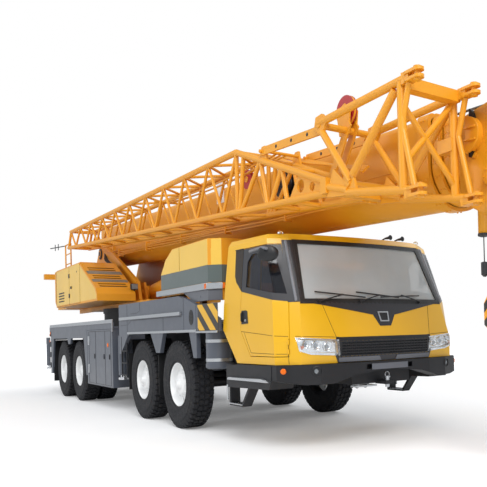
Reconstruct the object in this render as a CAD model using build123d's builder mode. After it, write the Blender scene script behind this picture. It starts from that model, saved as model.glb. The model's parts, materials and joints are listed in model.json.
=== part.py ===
"""Four-axle truck crane with a five-section telescopic boom and a lattice jib stowed beside it.

The frame is +X forward, +Y to the left, +Z up, in millimetres.  The origin is on the ground,
at the middle of the overall length.  The boom lies nose-down over the cab, as it travels.
"""
import math
import os

from build123d import *

os.makedirs("parts", exist_ok=True)

# ------------------------------------------------------------------ driving dimensions
TYRE_R = 615                                  # 12.00R24 tyre
TYRE_W = 316
STEER_X = (1500, 0)                           # axles 1 and 2
DRIVE_X = (-4050, -5430)                      # axles 3 and 4, twin tyres
WHEEL_Y = 1155                                # middle of the outer tyre
TWIN_PITCH = 345                              # outer tyre to inner tyre
KINGPIN_Y = 985
SPINDLE_R = 60
RUN = 0.5                                     # running gap round a spindle or a pin

HALF_W = 1330                                 # carrier body
REAR_X = -7450                                # back of the rear outrigger box
BUMPER_X = 4650

TOW_X = 4590                                  # front towing eye
TOW_R = 26
TOW_Z = (690, 730)

FRAME_Y = 420
FRAME_Z = (880, 1330)
DECK_Z = 1400

OUTRIGGER_X = (-1215, -1395, -7170, -7350)    # right front, left front, right rear, left rear
BEAM_W = 160
BEAM_Z = (930, 1200)
JACK_Y = 1235
JACK_R = 80
FLOAT_Z = 560                                 # underside of a stowed float

SLEW_X = -4100
RING_R = 760
TABLE_Z = (1905, 1985)                        # turntable floor plate
CHEEK_Y = (450, 510)
TAIL_X = -7525

PIVOT = Vector(-5250, 0, 3200)                # boom foot pin
BOOM_SLOPE = 2.3                              # degrees nose-down
BOOM_RISE = 170                               # boom centre line above the pin
BOOM_FRONT = 11100                            # front of the base section along the boom
LUFF_FOOT = Vector(-3150, 0, 2200)
LUFF_EYE = Vector(600, 0, 2555)

CAB_WALL = 60
GAP = 8                                       # round a door

COS = math.cos(math.radians(BOOM_SLOPE))
SIN = math.sin(math.radians(BOOM_SLOPE))
BOOM_DIR = Vector(COS, 0, -SIN)
BOOM_UP = Vector(SIN, 0, COS)


# ------------------------------------------------------------------ shared shapes
def block(x0, x1, y0, y1, z0, z1, mode=Mode.ADD):
    """A box between two corners."""
    with Locations(((x0 + x1) / 2, (y0 + y1) / 2, (z0 + z1) / 2)):
        Box(x1 - x0, y1 - y0, z1 - z0, mode=mode)


def outline(plane, points):
    """A flat face with straight edges through the points of a plane."""
    with BuildSketch(plane) as face:
        with BuildLine():
            Polyline(*points, close=True)
        make_face()
    return face.sketch


def plate(points, y0, y1, mode=Mode.ADD):
    """A plate across the vehicle, with its outline in (x, z)."""
    extrude(outline(Plane.XZ.offset(-y1), points), amount=y1 - y0, mode=mode)


def rod(start, end, radius, mode=Mode.ADD):
    """A round bar between two points."""
    axis = Vector(end) - Vector(start)
    with BuildSketch(Plane(origin=start, z_dir=axis)) as face:
        Circle(radius)
    extrude(face.sketch, amount=axis.length, mode=mode)


def along(s, n=0, y=0):
    """A point in the boom's own frame: s along it from the foot pin, n above the pin."""
    return PIVOT + BOOM_DIR * s + BOOM_UP * n + Vector(0, y, 0)


def boom_plane(s):
    """The plane across the boom at s, with local x to the left and local y up."""
    return Plane(origin=along(s, BOOM_RISE), x_dir=(0, 1, 0), z_dir=BOOM_DIR)


def boom_plate(points, y0, y1, mode=Mode.ADD):
    """A plate parallel to the boom's side, with its outline in (s, n)."""
    flat = Plane(origin=along(0, 0, y1), x_dir=BOOM_DIR, z_dir=(0, -1, 0))
    extrude(outline(flat, points), amount=y1 - y0, mode=mode)


def finish(part, name):
    part.part.label = name
    export_step(part.part, f"parts/{name}.step")


SIDES = (("right", -1), ("left", 1))

# ------------------------------------------------------------------ carrier frame
with BuildPart() as chassis_frame:
    block(-6800, 2150, -FRAME_Y, FRAME_Y, *FRAME_Z)
    for side in (-1, 1):
        block(2150, 4480, min(side * 300, side * FRAME_Y), max(side * 300, side * FRAME_Y), 700, 900)
        plate([(2000, 880), (2150, 1330), (2600, 900), (2600, 700), (2150, 700)],
              min(side * 300, side * FRAME_Y), max(side * 300, side * FRAME_Y))
    block(3000, 3120, -FRAME_Y, FRAME_Y, 700, 900)
    block(4360, 4480, -FRAME_Y, FRAME_Y, 700, 900)
    # front towing eye
    block(4440, 4640, -60, 60, *TOW_Z)
    with Locations((TOW_X, 0, sum(TOW_Z) / 2)):
        Cylinder(TOW_R, 60, mode=Mode.SUBTRACT)
    # front and rear outrigger boxes, each with one bore for each beam
    block(-1490, -1120, -1100, 1100, 880, 1250)
    block(REAR_X, -7070, -1130, 1130, 880, 1250)
    plate([(REAR_X, 880), (REAR_X, 1560), (-6800, 1560), (-6800, 880)], -FRAME_Y, FRAME_Y)
    for beam_x in OUTRIGGER_X:
        half = BEAM_W / 2 + 6
        block(beam_x - half, beam_x + half, -1200, 1200, BEAM_Z[0] - 6, BEAM_Z[1] + 6, Mode.SUBTRACT)
    # turret under the slewing ring
    with BuildSketch(Plane.XY.offset(FRAME_Z[1])) as turret:
        with Locations((SLEW_X, 0)):
            Circle(RING_R - 20)
    extrude(turret.sketch, amount=1800 - FRAME_Z[1])
    with BuildSketch(Plane.XY.offset(1800)) as ring:
        with Locations((SLEW_X, 0)):
            Circle(RING_R)
    extrude(ring.sketch, amount=TABLE_Z[0] - 1800 - 3)
finish(chassis_frame, "chassis_frame")

# ------------------------------------------------------------------ axles
# Differential housing: (across the vehicle, radius)
DIFFERENTIAL = [(-260, 0), (-260, 110), (-150, 225), (150, 225), (260, 110), (260, 0)]
with BuildPart() as axles:
    for axle_x in STEER_X:
        reach = KINGPIN_Y - 75
        rod((axle_x, -reach, TYRE_R), (axle_x, reach, TYRE_R), 70)
        for side in (-1, 1):
            with Locations((axle_x, side * KINGPIN_Y, TYRE_R)):
                Cylinder(60, 140)
            rod((axle_x, side * (KINGPIN_Y - 100), TYRE_R), (axle_x, side * (KINGPIN_Y - 30), TYRE_R), 50)
            with Locations((axle_x, side * KINGPIN_Y, TYRE_R)):
                Cylinder(26, 160, mode=Mode.SUBTRACT)
    for axle_x in DRIVE_X:
        rod((axle_x, -630, TYRE_R), (axle_x, 630, TYRE_R), 95)
        rod((axle_x, -1120, TYRE_R), (axle_x, 1120, TYRE_R), SPINDLE_R - RUN)
        flat = Plane(origin=(axle_x, 0, TYRE_R), x_dir=(0, 1, 0), z_dir=(1, 0, 0))
        revolve(outline(flat, DIFFERENTIAL), axis=Axis((axle_x, 0, TYRE_R), (0, 1, 0)))
    for axle_x in STEER_X + DRIVE_X:
        for side in (-1, 1):
            low, high = min(side * 380, side * 470), max(side * 380, side * 470)
            plate([(axle_x - 480, 878), (axle_x - 480, 820), (axle_x - 90, 690), (axle_x - 60, 640),
                   (axle_x + 60, 640), (axle_x + 90, 690), (axle_x + 480, 820), (axle_x + 480, 878),
                   (axle_x + 90, 760), (axle_x - 90, 760)], low, high)
finish(axles, "axles")

# ------------------------------------------------------------------ knuckles and wheels
# Wheel sections: (outward from the wheel's middle, radius)
TYRE_SECTION = [(-125, 300), (-158, 460), (-146, 570), (-112, TYRE_R), (112, TYRE_R), (146, 570), (158, 460),
                (125, 300)]
STEER_DISC = [(96, 282), (52, 262), (70, 165), (112, 150), (122, 70), (122, 0), (60, 0), (60, SPINDLE_R),
              (-60, SPINDLE_R), (-60, 150), (20, 165), (0, 300)]
DRIVE_DISC = [(96, 282), (-30, 262), (-40, 165), (60, 150), (66, 70), (66, 0), (60, 0), (60, SPINDLE_R),
              (-60, SPINDLE_R), (-60, 150), (-60, 165), (-60, 300)]
INNER_SECTION = [(-20, 282), (-20, 300), (60, 300), (60, SPINDLE_R), (-60, SPINDLE_R), (-60, 300)]
HAND_HOLES = 8
HAND_HOLE_R = 30
HAND_HOLE_PITCH_R = 216


def turned(axle_x, middle_y, side, section):
    """A ring turned round an axle from its section."""
    flat = Plane(origin=(axle_x, middle_y, TYRE_R), x_dir=(0, side, 0), z_dir=(side, 0, 0))
    revolve(outline(flat, section), axis=Axis((axle_x, 0, TYRE_R), (0, 1, 0)))


for number, axle_x in enumerate(STEER_X + DRIVE_X, start=1):
    for side_name, side in SIDES:
        steered = axle_x in STEER_X
        with BuildPart() as wheel:
            turned(axle_x, side * WHEEL_Y, side, TYRE_SECTION + (STEER_DISC if steered else DRIVE_DISC))
            if not steered:
                turned(axle_x, side * (WHEEL_Y - TWIN_PITCH), side, TYRE_SECTION + INNER_SECTION)
                turned(axle_x, side * (WHEEL_Y - TWIN_PITCH), side,
                       [(50, SPINDLE_R), (TWIN_PITCH - 50, SPINDLE_R), (TWIN_PITCH - 50, 145), (50, 145)])
            flat = Plane(origin=(axle_x, side * (WHEEL_Y - 70), TYRE_R), x_dir=(1, 0, 0), z_dir=(0, side, 0))
            with BuildSketch(flat) as holes:
                with PolarLocations(HAND_HOLE_PITCH_R, HAND_HOLES):
                    Circle(HAND_HOLE_R)
            extrude(holes.sketch, amount=170, mode=Mode.SUBTRACT)
        finish(wheel, f"wheel_{number}_{side_name}")
        if steered:
            with BuildPart() as knuckle:
                inner, outer = KINGPIN_Y - 45, WHEEL_Y - 65
                low, high = min(side * inner, side * outer), max(side * inner, side * outer)
                block(axle_x - 50, axle_x + 50, low, high, TYRE_R + 76, TYRE_R + 116)
                block(axle_x - 50, axle_x + 50, low, high, TYRE_R - 116, TYRE_R - 76)
                edge = min(side * (outer - 35), side * outer)
                block(axle_x - 60, axle_x + 60, edge, edge + 35, TYRE_R - 116, TYRE_R + 116)
                rod((axle_x, side * (outer - 20), TYRE_R), (axle_x, side * (WHEEL_Y + 55), TYRE_R),
                    SPINDLE_R - RUN)
                rod((axle_x, side * KINGPIN_Y, TYRE_R - 100), (axle_x, side * KINGPIN_Y, TYRE_R + 100), 25)
            finish(knuckle, f"knuckle_{number}_{side_name}")

# ------------------------------------------------------------------ outriggers
CORNERS = (("front_right", -1), ("front_left", 1), ("rear_right", -1), ("rear_left", 1))
for (corner, side), beam_x in zip(CORNERS, OUTRIGGER_X):
    with BuildPart() as beam:
        tip, tail = side * (JACK_Y - 60), side * -1000
        block(beam_x - BEAM_W / 2, beam_x + BEAM_W / 2, min(tip, tail), max(tip, tail), *BEAM_Z)
        rod((beam_x, side * JACK_Y, 640), (beam_x, side * JACK_Y, 1320), JACK_R)
        rod((beam_x, side * JACK_Y, 640), (beam_x, side * JACK_Y, 1280), 50 + RUN, Mode.SUBTRACT)
    finish(beam, f"outrigger_beam_{corner}")
    with BuildPart() as jack:
        rod((beam_x, side * JACK_Y, FLOAT_Z + 30), (beam_x, side * JACK_Y, 1270), 50)
        rod((beam_x, side * JACK_Y, FLOAT_Z), (beam_x, side * JACK_Y, FLOAT_Z + 40), 84)
    finish(jack, f"outrigger_jack_{corner}")

# ------------------------------------------------------------------ front deck and side panels
PANEL = [(-1100, 1010), (-1010, 1010), (-640, 1300), (-450, 1365), (480, 1365), (740, 1050), (900, 1050),
         (1060, 1365), (2030, 1365), (2180, 1000), (2290, 1000), (2290, 1340), (2960, 1340), (2960, 1500),
         (2380, 1670), (1950, 1790), (1700, 1840), (-1100, 1840)]
with BuildPart() as front_deck:
    block(-1100, 2290, -1300, 1300, DECK_Z, DECK_Z + 40)
    block(2290, 2900, -1300, 1300, 1340, 1380)
    for side in (-1, 1):
        plate(PANEL, min(side * 1275, side * HALF_W), max(side * 1275, side * HALF_W))
    block(1250, 2650, -500, 500, 1300, 1500, Mode.SUBTRACT)
finish(front_deck, "front_deck")

# ------------------------------------------------------------------ rear deck and fenders
ARCHES = [(-6640, 480), (-6460, 480), (-6260, 1290), (-4900, 1290), (-4830, 1170), (-4650, 1170), (-4580, 1290),
          (-3520, 1290), (-3330, 560), (-3250, 560), (-3250, 1460), (-6640, 1460)]
with BuildPart() as rear_deck:
    block(-6700, -1500, -1330, 1330, 1445, 1485)
    for side in (-1, 1):
        plate(ARCHES, min(side * 1290, side * HALF_W), max(side * 1290, side * HALF_W))
        block(-6700, -1500, min(side * 1300, side * HALF_W), max(side * 1300, side * HALF_W), 1485, 1560)
        block(-7060, -6700, min(side * 900, side * 1250), max(side * 900, side * 1250), 1260, 1560)
    with BuildSketch(Plane.XY.offset(1400)) as opening:
        with Locations((SLEW_X, 0)):
            Circle(RING_R + 60)
    extrude(opening.sketch, amount=200, mode=Mode.SUBTRACT)
finish(rear_deck, "rear_deck")

with BuildPart() as tool_boxes:
    for side in (-1, 1):
        block(-3230, -1515, min(side * 760, side * HALF_W), max(side * 760, side * HALF_W), 400, 1440)
finish(tool_boxes, "tool_boxes")

# ------------------------------------------------------------------ engine and hood
with BuildPart() as engine:
    block(1320, 2580, -430, 430, 1340, 2150)
finish(engine, "engine")

HOOD = [(850, 1870), (850, 2200), (1050, 2400), (1330, 2530), (2700, 2530), (2700, 1740), (2050, 1740),
        (1750, 1870)]
with BuildPart() as engine_hood:
    with BuildSketch(Plane.XZ) as side_view:
        with BuildLine():
            Polyline(*HOOD, close=True)
        make_face()
    extrude(side_view.sketch, amount=1270, both=True)
    chamfer(engine_hood.edges().filter_by(Axis.Z).group_by(Axis.X)[-1], 130)
    block(1000, 2640, -1240, 1240, 1700, 2200, Mode.SUBTRACT)
    block(1200, 2640, -1240, 1240, 1700, 2400, Mode.SUBTRACT)
    for side in (-1, 1):
        block(1100, 1180, min(side * 700, side * 780), max(side * 700, side * 780), DECK_Z + 40, 2300)
        block(2560, 2640, min(side * 700, side * 780), max(side * 700, side * 780), 1380, 2300)
finish(engine_hood, "engine_hood")

with BuildPart() as side_tanks:
    rod((2590, -1150, 880), (2590, -1150, 1335), 165)
    block(2420, 2760, 985, 1315, 700, 1335)
finish(side_tanks, "side_tanks")

# ------------------------------------------------------------------ carrier cab
# Cab sections: height, half width at the rear and at the front, x where the side ends, corner x and y,
# x at the middle
CAB_SECTIONS = ((960, 1275, 1275, 4280, 4500, 1080, 4610), (1200, 1275, 1275, 4270, 4510, 1075, 4640),
                (1640, 1275, 1250, 4210, 4400, 1020, 4490), (2360, 1240, 1165, 3960, 4080, 960, 4160),
                (2420, 1200, 1120, 3900, 4030, 930, 4120))
CAB_SIDE = [(3430, 900), (4800, 900), (4800, 2500), (3100, 2500), (3100, 2360), (3000, 1354)]
DOOR = [(3480, 1340), (3720, 1050), (4395, 1050), (4395, 1240), (4322, 1626), (4068, 2290), (3480, 2290)]
DOOR_WINDOW = [(3560, 1815), (4250, 1700), (4020, 2235), (3650, 2235), (3560, 2150)]
HINGE_X = 4395
HINGE_Y = 1172
HINGE_Z = (1075, 1175)                        # foot of each barrel
HINGE_R = 13
HINGE_TALL = 50
SCREEN = [(-985, 1655), (985, 1655), (900, 2325), (-900, 2325)]      # (y, z)
LAMP = [(676, 1208), (1098, 1238), (1080, 1112), (972, 1080), (656, 1068)]
GRILLE = [(-640, 1030), (640, 1030), (640, 1195), (-640, 1195)]


def cab_volume(inset):
    """The cab's closed outer form, drawn in by inset."""
    with BuildPart() as body:
        for z, rear, half, side_x, corner_x, corner_y, middle_x in CAB_SECTIONS:
            level = z + inset if z == 960 else z - inset if z == 2420 else z
            with BuildSketch(Plane.XY.offset(level)):
                with BuildLine():
                    Polyline((side_x, half), (2900, rear), (2900, -rear), (side_x, -half),
                             (corner_x, -corner_y))
                    ThreePointArc((corner_x, -corner_y), (middle_x, 0), (corner_x, corner_y))
                    Line((corner_x, corner_y), (side_x, half))
                make_face()
                offset(amount=-inset, kind=Kind.INTERSECTION)
        loft(ruled=True)
        with BuildSketch(Plane.XZ) as side_view:
            with BuildLine():
                Polyline(*CAB_SIDE, close=True)
            make_face()
            offset(amount=-inset, kind=Kind.INTERSECTION)
        extrude(side_view.sketch, amount=2000, both=True, mode=Mode.INTERSECT)
    return body.part


cab_outer = cab_volume(0)
cab_inner = cab_volume(CAB_WALL)
cab_walls = cab_outer - cab_inner


def grown(points, amount):
    """The outline's face in the XZ plane, moved out by an amount."""
    with BuildSketch(Plane.XZ) as face:
        with BuildLine():
            Polyline(*points, close=True)
        make_face()
        if amount:
            offset(amount=amount, kind=Kind.INTERSECTION)
    return face.sketch


def front_cut(points, mode):
    """A cut or a kept block through the cab's front, with its outline in (y, z)."""
    extrude(outline(Plane.YZ.offset(3900), points), amount=900, mode=mode)


def mirrored(points, side):
    return [(side * y, z) for y, z in points]


def hinge_pins(side, radius, tall, drop, mode=Mode.ADD):
    """The two barrels of a door hinge."""
    for foot in HINGE_Z:
        rod((HINGE_X, side * HINGE_Y, foot + drop), (HINGE_X, side * HINGE_Y, foot + drop + tall), radius, mode)


with BuildPart() as cab_shell:
    add(cab_walls)
    extrude(grown(DOOR, GAP), amount=1500, both=True, mode=Mode.SUBTRACT)
    # windscreen, rear window, quarter windows behind the doors
    front_cut(SCREEN, Mode.SUBTRACT)
    block(2900, 3300, -800, 800, 1750, 2250, Mode.SUBTRACT)
    # seats of the grille and the headlamps
    front_cut(GRILLE, Mode.SUBTRACT)
    for side in (-1, 1):
        front_cut(mirrored(LAMP, side), Mode.SUBTRACT)
        hinge_pins(side, HINGE_R + 6, HINGE_TALL + 12, -6, Mode.SUBTRACT)
finish(cab_shell, "cab_shell")

for side_name, side in SIDES:
    with BuildPart() as door:
        add(cab_walls)
        half = Plane.XZ.offset(-side * 1000)
        with BuildSketch(half) as panel:
            with BuildLine():
                Polyline(*DOOR, close=True)
            make_face()
        extrude(panel.sketch, amount=-side * 500, mode=Mode.INTERSECT)
        with BuildSketch(half) as window:
            with BuildLine():
                Polyline(*DOOR_WINDOW, close=True)
            make_face()
        extrude(window.sketch, amount=-side * 500, mode=Mode.SUBTRACT)
        hinge_pins(side, HINGE_R, HINGE_TALL, 0)
    finish(door, f"door_{side_name}")

with BuildPart() as cab_glass:
    add(cab_walls)
    front_cut(SCREEN, Mode.INTERSECT)
finish(cab_glass, "cab_glass")

with BuildPart() as cab_interior:
    block(3600, 4280, -1150, 1150, 1020, 1060)
    for seat_y in (-600, 600):
        block(3560, 4050, seat_y - 240, seat_y + 240, 1060, 1420)
        plate([(3520, 1420), (3640, 1420), (3560, 2050), (3440, 2050)], seat_y - 240, seat_y + 240)
    plate([(4120, 1060), (4280, 1060), (4330, 1600), (4050, 1640)], -980, 980)
    rod((4140, 600, 1545), (3944, 600, 1758), 30)
    with BuildSketch(Plane(origin=(3955, 600, 1746), z_dir=(-0.68, 0, 0.73))) as wheel_ring:
        Circle(215)
        Circle(185, mode=Mode.SUBTRACT)
        Rectangle(390, 40)
    extrude(wheel_ring.sketch, amount=24)
finish(cab_interior, "cab_interior")

# ------------------------------------------------------------------ bumper, grille and lamps
BUMPER_PLAN = [(4150, 1300), (4150, -1300), (4340, -1290), (4470, -1180), (4600, -900), (BUMPER_X, -600),
               (BUMPER_X, 600), (4600, 900), (4470, 1180), (4340, 1290)]
# Bumper seen from the front, (y, z): its lower edge is lifted in the middle and at the corners
BUMPER_FACE = [(-1400, 820), (-1210, 770), (-1050, 742), (-760, 742), (-480, 823), (-120, 858), (120, 858),
               (480, 823), (760, 742), (1050, 742), (1210, 770), (1400, 820), (1400, 1000), (-1400, 1000)]
STEP_X = (3125, 3470)
STEP_Y = (1150, 1270)
STEP_TOP = 475
STEP_SLOTS = 4
with BuildPart() as bumper:
    extrude(outline(Plane.XY.offset(700), BUMPER_PLAN), amount=257)
    extrude(outline(Plane.YZ.offset(4000), BUMPER_FACE), amount=900, mode=Mode.INTERSECT)
    block(4100, 4420, -1100, 1100, 700, 970, Mode.SUBTRACT)
    block(4100, 4480, -FRAME_Y - 10, FRAME_Y + 10, 700, 970, Mode.SUBTRACT)
    block(4600, 4700, -330, 330, 875, 930, Mode.SUBTRACT)
    for side in (-1, 1):
        low, high = min(side * 1000, side * 1300), max(side * 1000, side * 1300)
        plate([(3120, 670), (4180, 690), (4240, 790), (4240, 950), (3440, 950), (3400, 940), (3120, 940)], low, high)
        # hanging step with upright rear hangers, raked front ones and a slotted tread
        low, high = min(side * STEP_Y[0], side * STEP_Y[1]), max(side * STEP_Y[0], side * STEP_Y[1])
        block(*STEP_X, low, high, STEP_TOP - 25, STEP_TOP)
        block(STEP_X[0], STEP_X[0] + 45, low, high, STEP_TOP - 10, 690)
        plate([(STEP_X[1] - 40, STEP_TOP - 20), (STEP_X[1], STEP_TOP - 20), (3700, 710), (3650, 710)], low, high)
        with BuildSketch(Plane.XY.offset(STEP_TOP - 40)) as slots:
            with Locations(((STEP_X[0] + STEP_X[1]) / 2, side * sum(STEP_Y) / 2)):
                with GridLocations(66, 0, STEP_SLOTS, 1):
                    SlotOverall(90, 30, rotation=90)
        extrude(slots.sketch, amount=60, mode=Mode.SUBTRACT)
finish(bumper, "bumper")

GRILLE_BARS = 5
GRILLE_BAR = 12
grille_skin = cab_volume(-4) - cab_volume(46)
groove_skin = cab_volume(-8) - cab_volume(18)
grille_pitch = (GRILLE[2][1] - GRILLE[0][1] - GRILLE_BAR) / GRILLE_BARS
with BuildPart() as air_slots:
    add(groove_skin)
    with BuildSketch(Plane.YZ.offset(3900)) as rows:
        for row in range(GRILLE_BARS):
            with Locations((0, GRILLE[0][1] + GRILLE_BAR + (row + 0.5) * grille_pitch - GRILLE_BAR / 2)):
                Rectangle(1240, grille_pitch - GRILLE_BAR)
    extrude(rows.sketch, amount=900, mode=Mode.INTERSECT)
with BuildPart() as grille:
    add(grille_skin)
    front_cut(GRILLE, Mode.INTERSECT)
    add(air_slots.part, mode=Mode.SUBTRACT)
finish(grille, "grille")

lamp_skin = cab_volume(-5) - cab_volume(46)
with BuildPart() as headlamps:
    add(lamp_skin)
    with BuildSketch(Plane.YZ.offset(3900)) as lenses:
        for side in (-1, 1):
            with BuildLine():
                Polyline(*mirrored(LAMP, side), close=True)
            make_face()
    extrude(lenses.sketch, amount=900, mode=Mode.INTERSECT)
finish(headlamps, "headlamps")

# ------------------------------------------------------------------ turntable
CHEEK = [(-5650, 1985), (-5850, 2700), (-5550, 3100), (-5350, 3330), (-5050, 3360), (-4320, 3120), (-2700, 2390),
         (-2550, 1985)]
with BuildPart() as turntable:
    block(-6100, -1700, -600, 600, *TABLE_Z)
    for side in (-1, 1):
        plate(CHEEK, min(side * CHEEK_Y[0], side * CHEEK_Y[1]), max(side * CHEEK_Y[0], side * CHEEK_Y[1]))
        block(-7300, -5600, min(side * CHEEK_Y[0], side * CHEEK_Y[1]), max(side * CHEEK_Y[0], side * CHEEK_Y[1]),
              TABLE_Z[0], 2700)
        plate([(-3350, 1985), (-3300, 2400), (-3050, 2400), (-2900, 1985)], min(side * 215, side * 260),
              max(side * 215, side * 260))
        rod((LUFF_FOOT.X, side * 150, LUFF_FOOT.Z), (LUFF_FOOT.X, side * 270, LUFF_FOOT.Z), 60)
        rod((PIVOT.X, side * 340, PIVOT.Z), (PIVOT.X, side * 540, PIVOT.Z), 80)
    block(TAIL_X, TAIL_X + 140, -1280, 1280, 2765, 2895)
    block(TAIL_X, -7280, -510, 510, 2300, 2860)
finish(turntable, "turntable")

HOUSING = [(-6000, 2800), (-5930, 2846), (-3790, 2846), (-3690, 2800), (-2550, 2240), (-2450, 2120), (-2450, 1990),
           (-5850, 1990), (-6000, 2130)]
LOUVRES = (215, 330, 650, 760, 1065, 1180)     # down the raked front, in pairs between the grip bands
with BuildPart() as machinery_housing:
    plate(HOUSING, -HALF_W, -620)
    chamfer(machinery_housing.faces().sort_by(Axis.Y)[0].edges().filter_by(Axis.X).group_by(Axis.Z)[-1], 35)
    block(-5600, -3000, -620, -600, 1990, 2200)
    # louvres down the raked front
    rake = Vector(-2550 + 3690, 0, 2240 - 2800).normalized()
    for distance in LOUVRES:
        start = Vector(-3690, -975, 2800) + rake * distance
        slot_plane = Plane(origin=start, x_dir=(0, 1, 0), z_dir=(-rake.Z, 0, rake.X))
        with BuildSketch(slot_plane) as slot:
            Rectangle(520, 62)
        extrude(slot.sketch, amount=-45, mode=Mode.SUBTRACT)
    # louvres low at the rear of the side
    with BuildSketch(Plane.XZ.offset(HALF_W - 20)) as vents:
        with Locations((-5500, 2260)):
            with GridLocations(0, 62, 1, 4):
                Rectangle(420, 26)
    extrude(vents.sketch, amount=60, mode=Mode.SUBTRACT)
finish(machinery_housing, "machinery_housing")

with BuildPart() as counterweight:
    block(-7280, -6300, -440, 440, 1990, 2280)
    block(-7350, -6450, -1000, -520, 2000, 2690)
    block(-7350, -6450, 520, 1000, 2000, 2690)
finish(counterweight, "counterweight")

with BuildPart() as winches:
    for drum_x, drum_z in ((-6850, 2560), (-6150, 2560)):
        rod((drum_x, -445, drum_z), (drum_x, 445, drum_z), 210)
finish(winches, "winches")

# ------------------------------------------------------------------ operator's cab
OP_CAB = [(-4700, 1990), (-2900, 1990), (-2700, 2300), (-2950, 3350), (-3150, 3430), (-4600, 3430), (-4700, 3300)]
OP_DOOR = [(-4050, 2080), (-2960, 2080), (-2860, 2320), (-3050, 3280), (-4050, 3280)]
OP_Y = (570, 1330)


def op_volume(inset):
    with BuildPart() as body:
        extrude(grown(OP_CAB, -inset), amount=-(OP_Y[1] - inset))
        block(-6000, 0, 0, OP_Y[0] + inset, 1500, 4000, Mode.SUBTRACT)
    return body.part


OP_HINGE = (-4050, 1332)
OP_HINGE_Z = (2230, 2960)
OP_DOOR_WINDOW = [(-3960, 2420), (-2960, 2420), (-3110, 3200), (-3960, 3200)]
OP_REAR_WINDOW = [(-4600, 2600), (-4160, 2600), (-4160, 3200), (-4600, 3200)]


def op_pins(radius, tall, drop, mode=Mode.ADD):
    for foot in OP_HINGE_Z:
        rod((*OP_HINGE, foot + drop), (*OP_HINGE, foot + drop + tall), radius, mode)


op_walls = op_volume(0) - op_volume(50)
with BuildPart() as operator_cab:
    add(op_walls)
    extrude(grown(OP_DOOR, GAP), amount=-1500, mode=Mode.SUBTRACT)
    # windscreen, roof window, rear quarter and the window towards the boom
    block(-3100, -2600, OP_Y[0] + 80, OP_Y[1] - 80, 2400, 3260, Mode.SUBTRACT)
    block(-4300, -3300, OP_Y[0] + 130, OP_Y[1] - 130, 3340, 3500, Mode.SUBTRACT)
    extrude(grown(OP_REAR_WINDOW, 0), amount=-1500, mode=Mode.SUBTRACT)
    plate(OP_DOOR_WINDOW, OP_Y[0] - 20, OP_Y[0] + 80, Mode.SUBTRACT)
    op_pins(HINGE_R + 6, HINGE_TALL + 12, -6, Mode.SUBTRACT)
finish(operator_cab, "operator_cab")

with BuildPart() as operator_door:
    add(op_walls)
    with BuildSketch(Plane.XZ.offset(-1200)) as panel:
        with BuildLine():
            Polyline(*OP_DOOR, close=True)
        make_face()
    extrude(panel.sketch, amount=-300, mode=Mode.INTERSECT)
    plate(OP_DOOR_WINDOW, 1200, 1400, Mode.SUBTRACT)
    op_pins(HINGE_R, HINGE_TALL, 0)
finish(operator_door, "operator_door")

# ------------------------------------------------------------------ luffing cylinder
LUFF_LINE = (LUFF_EYE - LUFF_FOOT).normalized()
LUFF_REST = (LUFF_EYE - LUFF_FOOT).length


def on_luff(distance):
    return LUFF_FOOT + LUFF_LINE * distance


with BuildPart() as luff_barrel:
    rod(on_luff(100), on_luff(3350), 175)
    rod(on_luff(3350), on_luff(300), 110 + RUN, Mode.SUBTRACT)
    rod((LUFF_FOOT.X, -205, LUFF_FOOT.Z), (LUFF_FOOT.X, 205, LUFF_FOOT.Z), 140)
    rod((LUFF_FOOT.X, -300, LUFF_FOOT.Z), (LUFF_FOOT.X, 300, LUFF_FOOT.Z), 60 + RUN, Mode.SUBTRACT)
finish(luff_barrel, "luff_barrel")

with BuildPart() as luff_rod:
    rod(on_luff(320), on_luff(LUFF_REST - 80), 110)
    rod((LUFF_EYE.X, -150, LUFF_EYE.Z), (LUFF_EYE.X, 150, LUFF_EYE.Z), 110)
    rod((LUFF_EYE.X, -200, LUFF_EYE.Z), (LUFF_EYE.X, 200, LUFF_EYE.Z), 60 + RUN, Mode.SUBTRACT)
finish(luff_rod, "luff_rod")

# ------------------------------------------------------------------ boom
# Boom sections: name, half width, half height, rear end, front end, collar length
BOOM_SECTIONS = (("boom_base", 400, 430, -350, BOOM_FRONT, 160), ("boom_section_2", 362, 392, 150, 11225, 110),
                 ("boom_section_3", 324, 354, 300, 11340, 105), ("boom_section_4", 286, 316, 450, 11450, 100),
                 ("boom_head", 248, 278, 600, 11560, 105))
BOOM_WALL = 12
HEAD_CHEEK = [(11480, -240), (11600, -330), (11820, -440), (12020, -400), (12500, -100), (12760, 430), (12760, 600),
              (12650, 690), (12450, 700), (11480, 480)]
HEAD_RIM = [(11900, -330), (12010, -330), (12440, -60), (12670, 440), (12670, 580), (12610, 620), (12420, 620),
            (12420, 560), (12560, 560), (12600, 520), (12600, 460), (12380, 0), (11960, -260), (11900, -260)]
# Head sheaves: along the boom, above the foot pin, radius, count
HEAD_SHEAVES = ((11880, -100, 250, 4), (12500, 480, 200, 2))
SHEAVE_PITCH = 130
SHEAVE_W = 60


def grooved(centre, middle_y, radius):
    """One rope sheave with a vee groove, turned round an axis across the vehicle."""
    flat = Plane(origin=(centre.X, middle_y, centre.Z), x_dir=(0, 1, 0), z_dir=(1, 0, 0))
    section = [(-SHEAVE_W / 2, 0), (-SHEAVE_W / 2, radius), (0, radius - 34), (SHEAVE_W / 2, radius), (SHEAVE_W / 2, 0)]
    revolve(outline(flat, section), axis=Axis((centre.X, 0, centre.Z), (0, 1, 0)))


def boom_outline(half_w, half_h):
    """Flat top with rounded corners over a round belly."""
    with BuildSketch() as ring:
        with BuildLine():
            belly = half_w
            waist = -half_h + belly
            Line((-half_w, waist), (-half_w, half_h))
            Line((-half_w, half_h), (half_w, half_h))
            Line((half_w, half_h), (half_w, waist))
            ThreePointArc((half_w, waist), (0, -half_h), (-half_w, waist))
        make_face()
        fillet(ring.vertices().group_by(Axis.Y)[-1], 60)
    return ring.sketch


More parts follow.
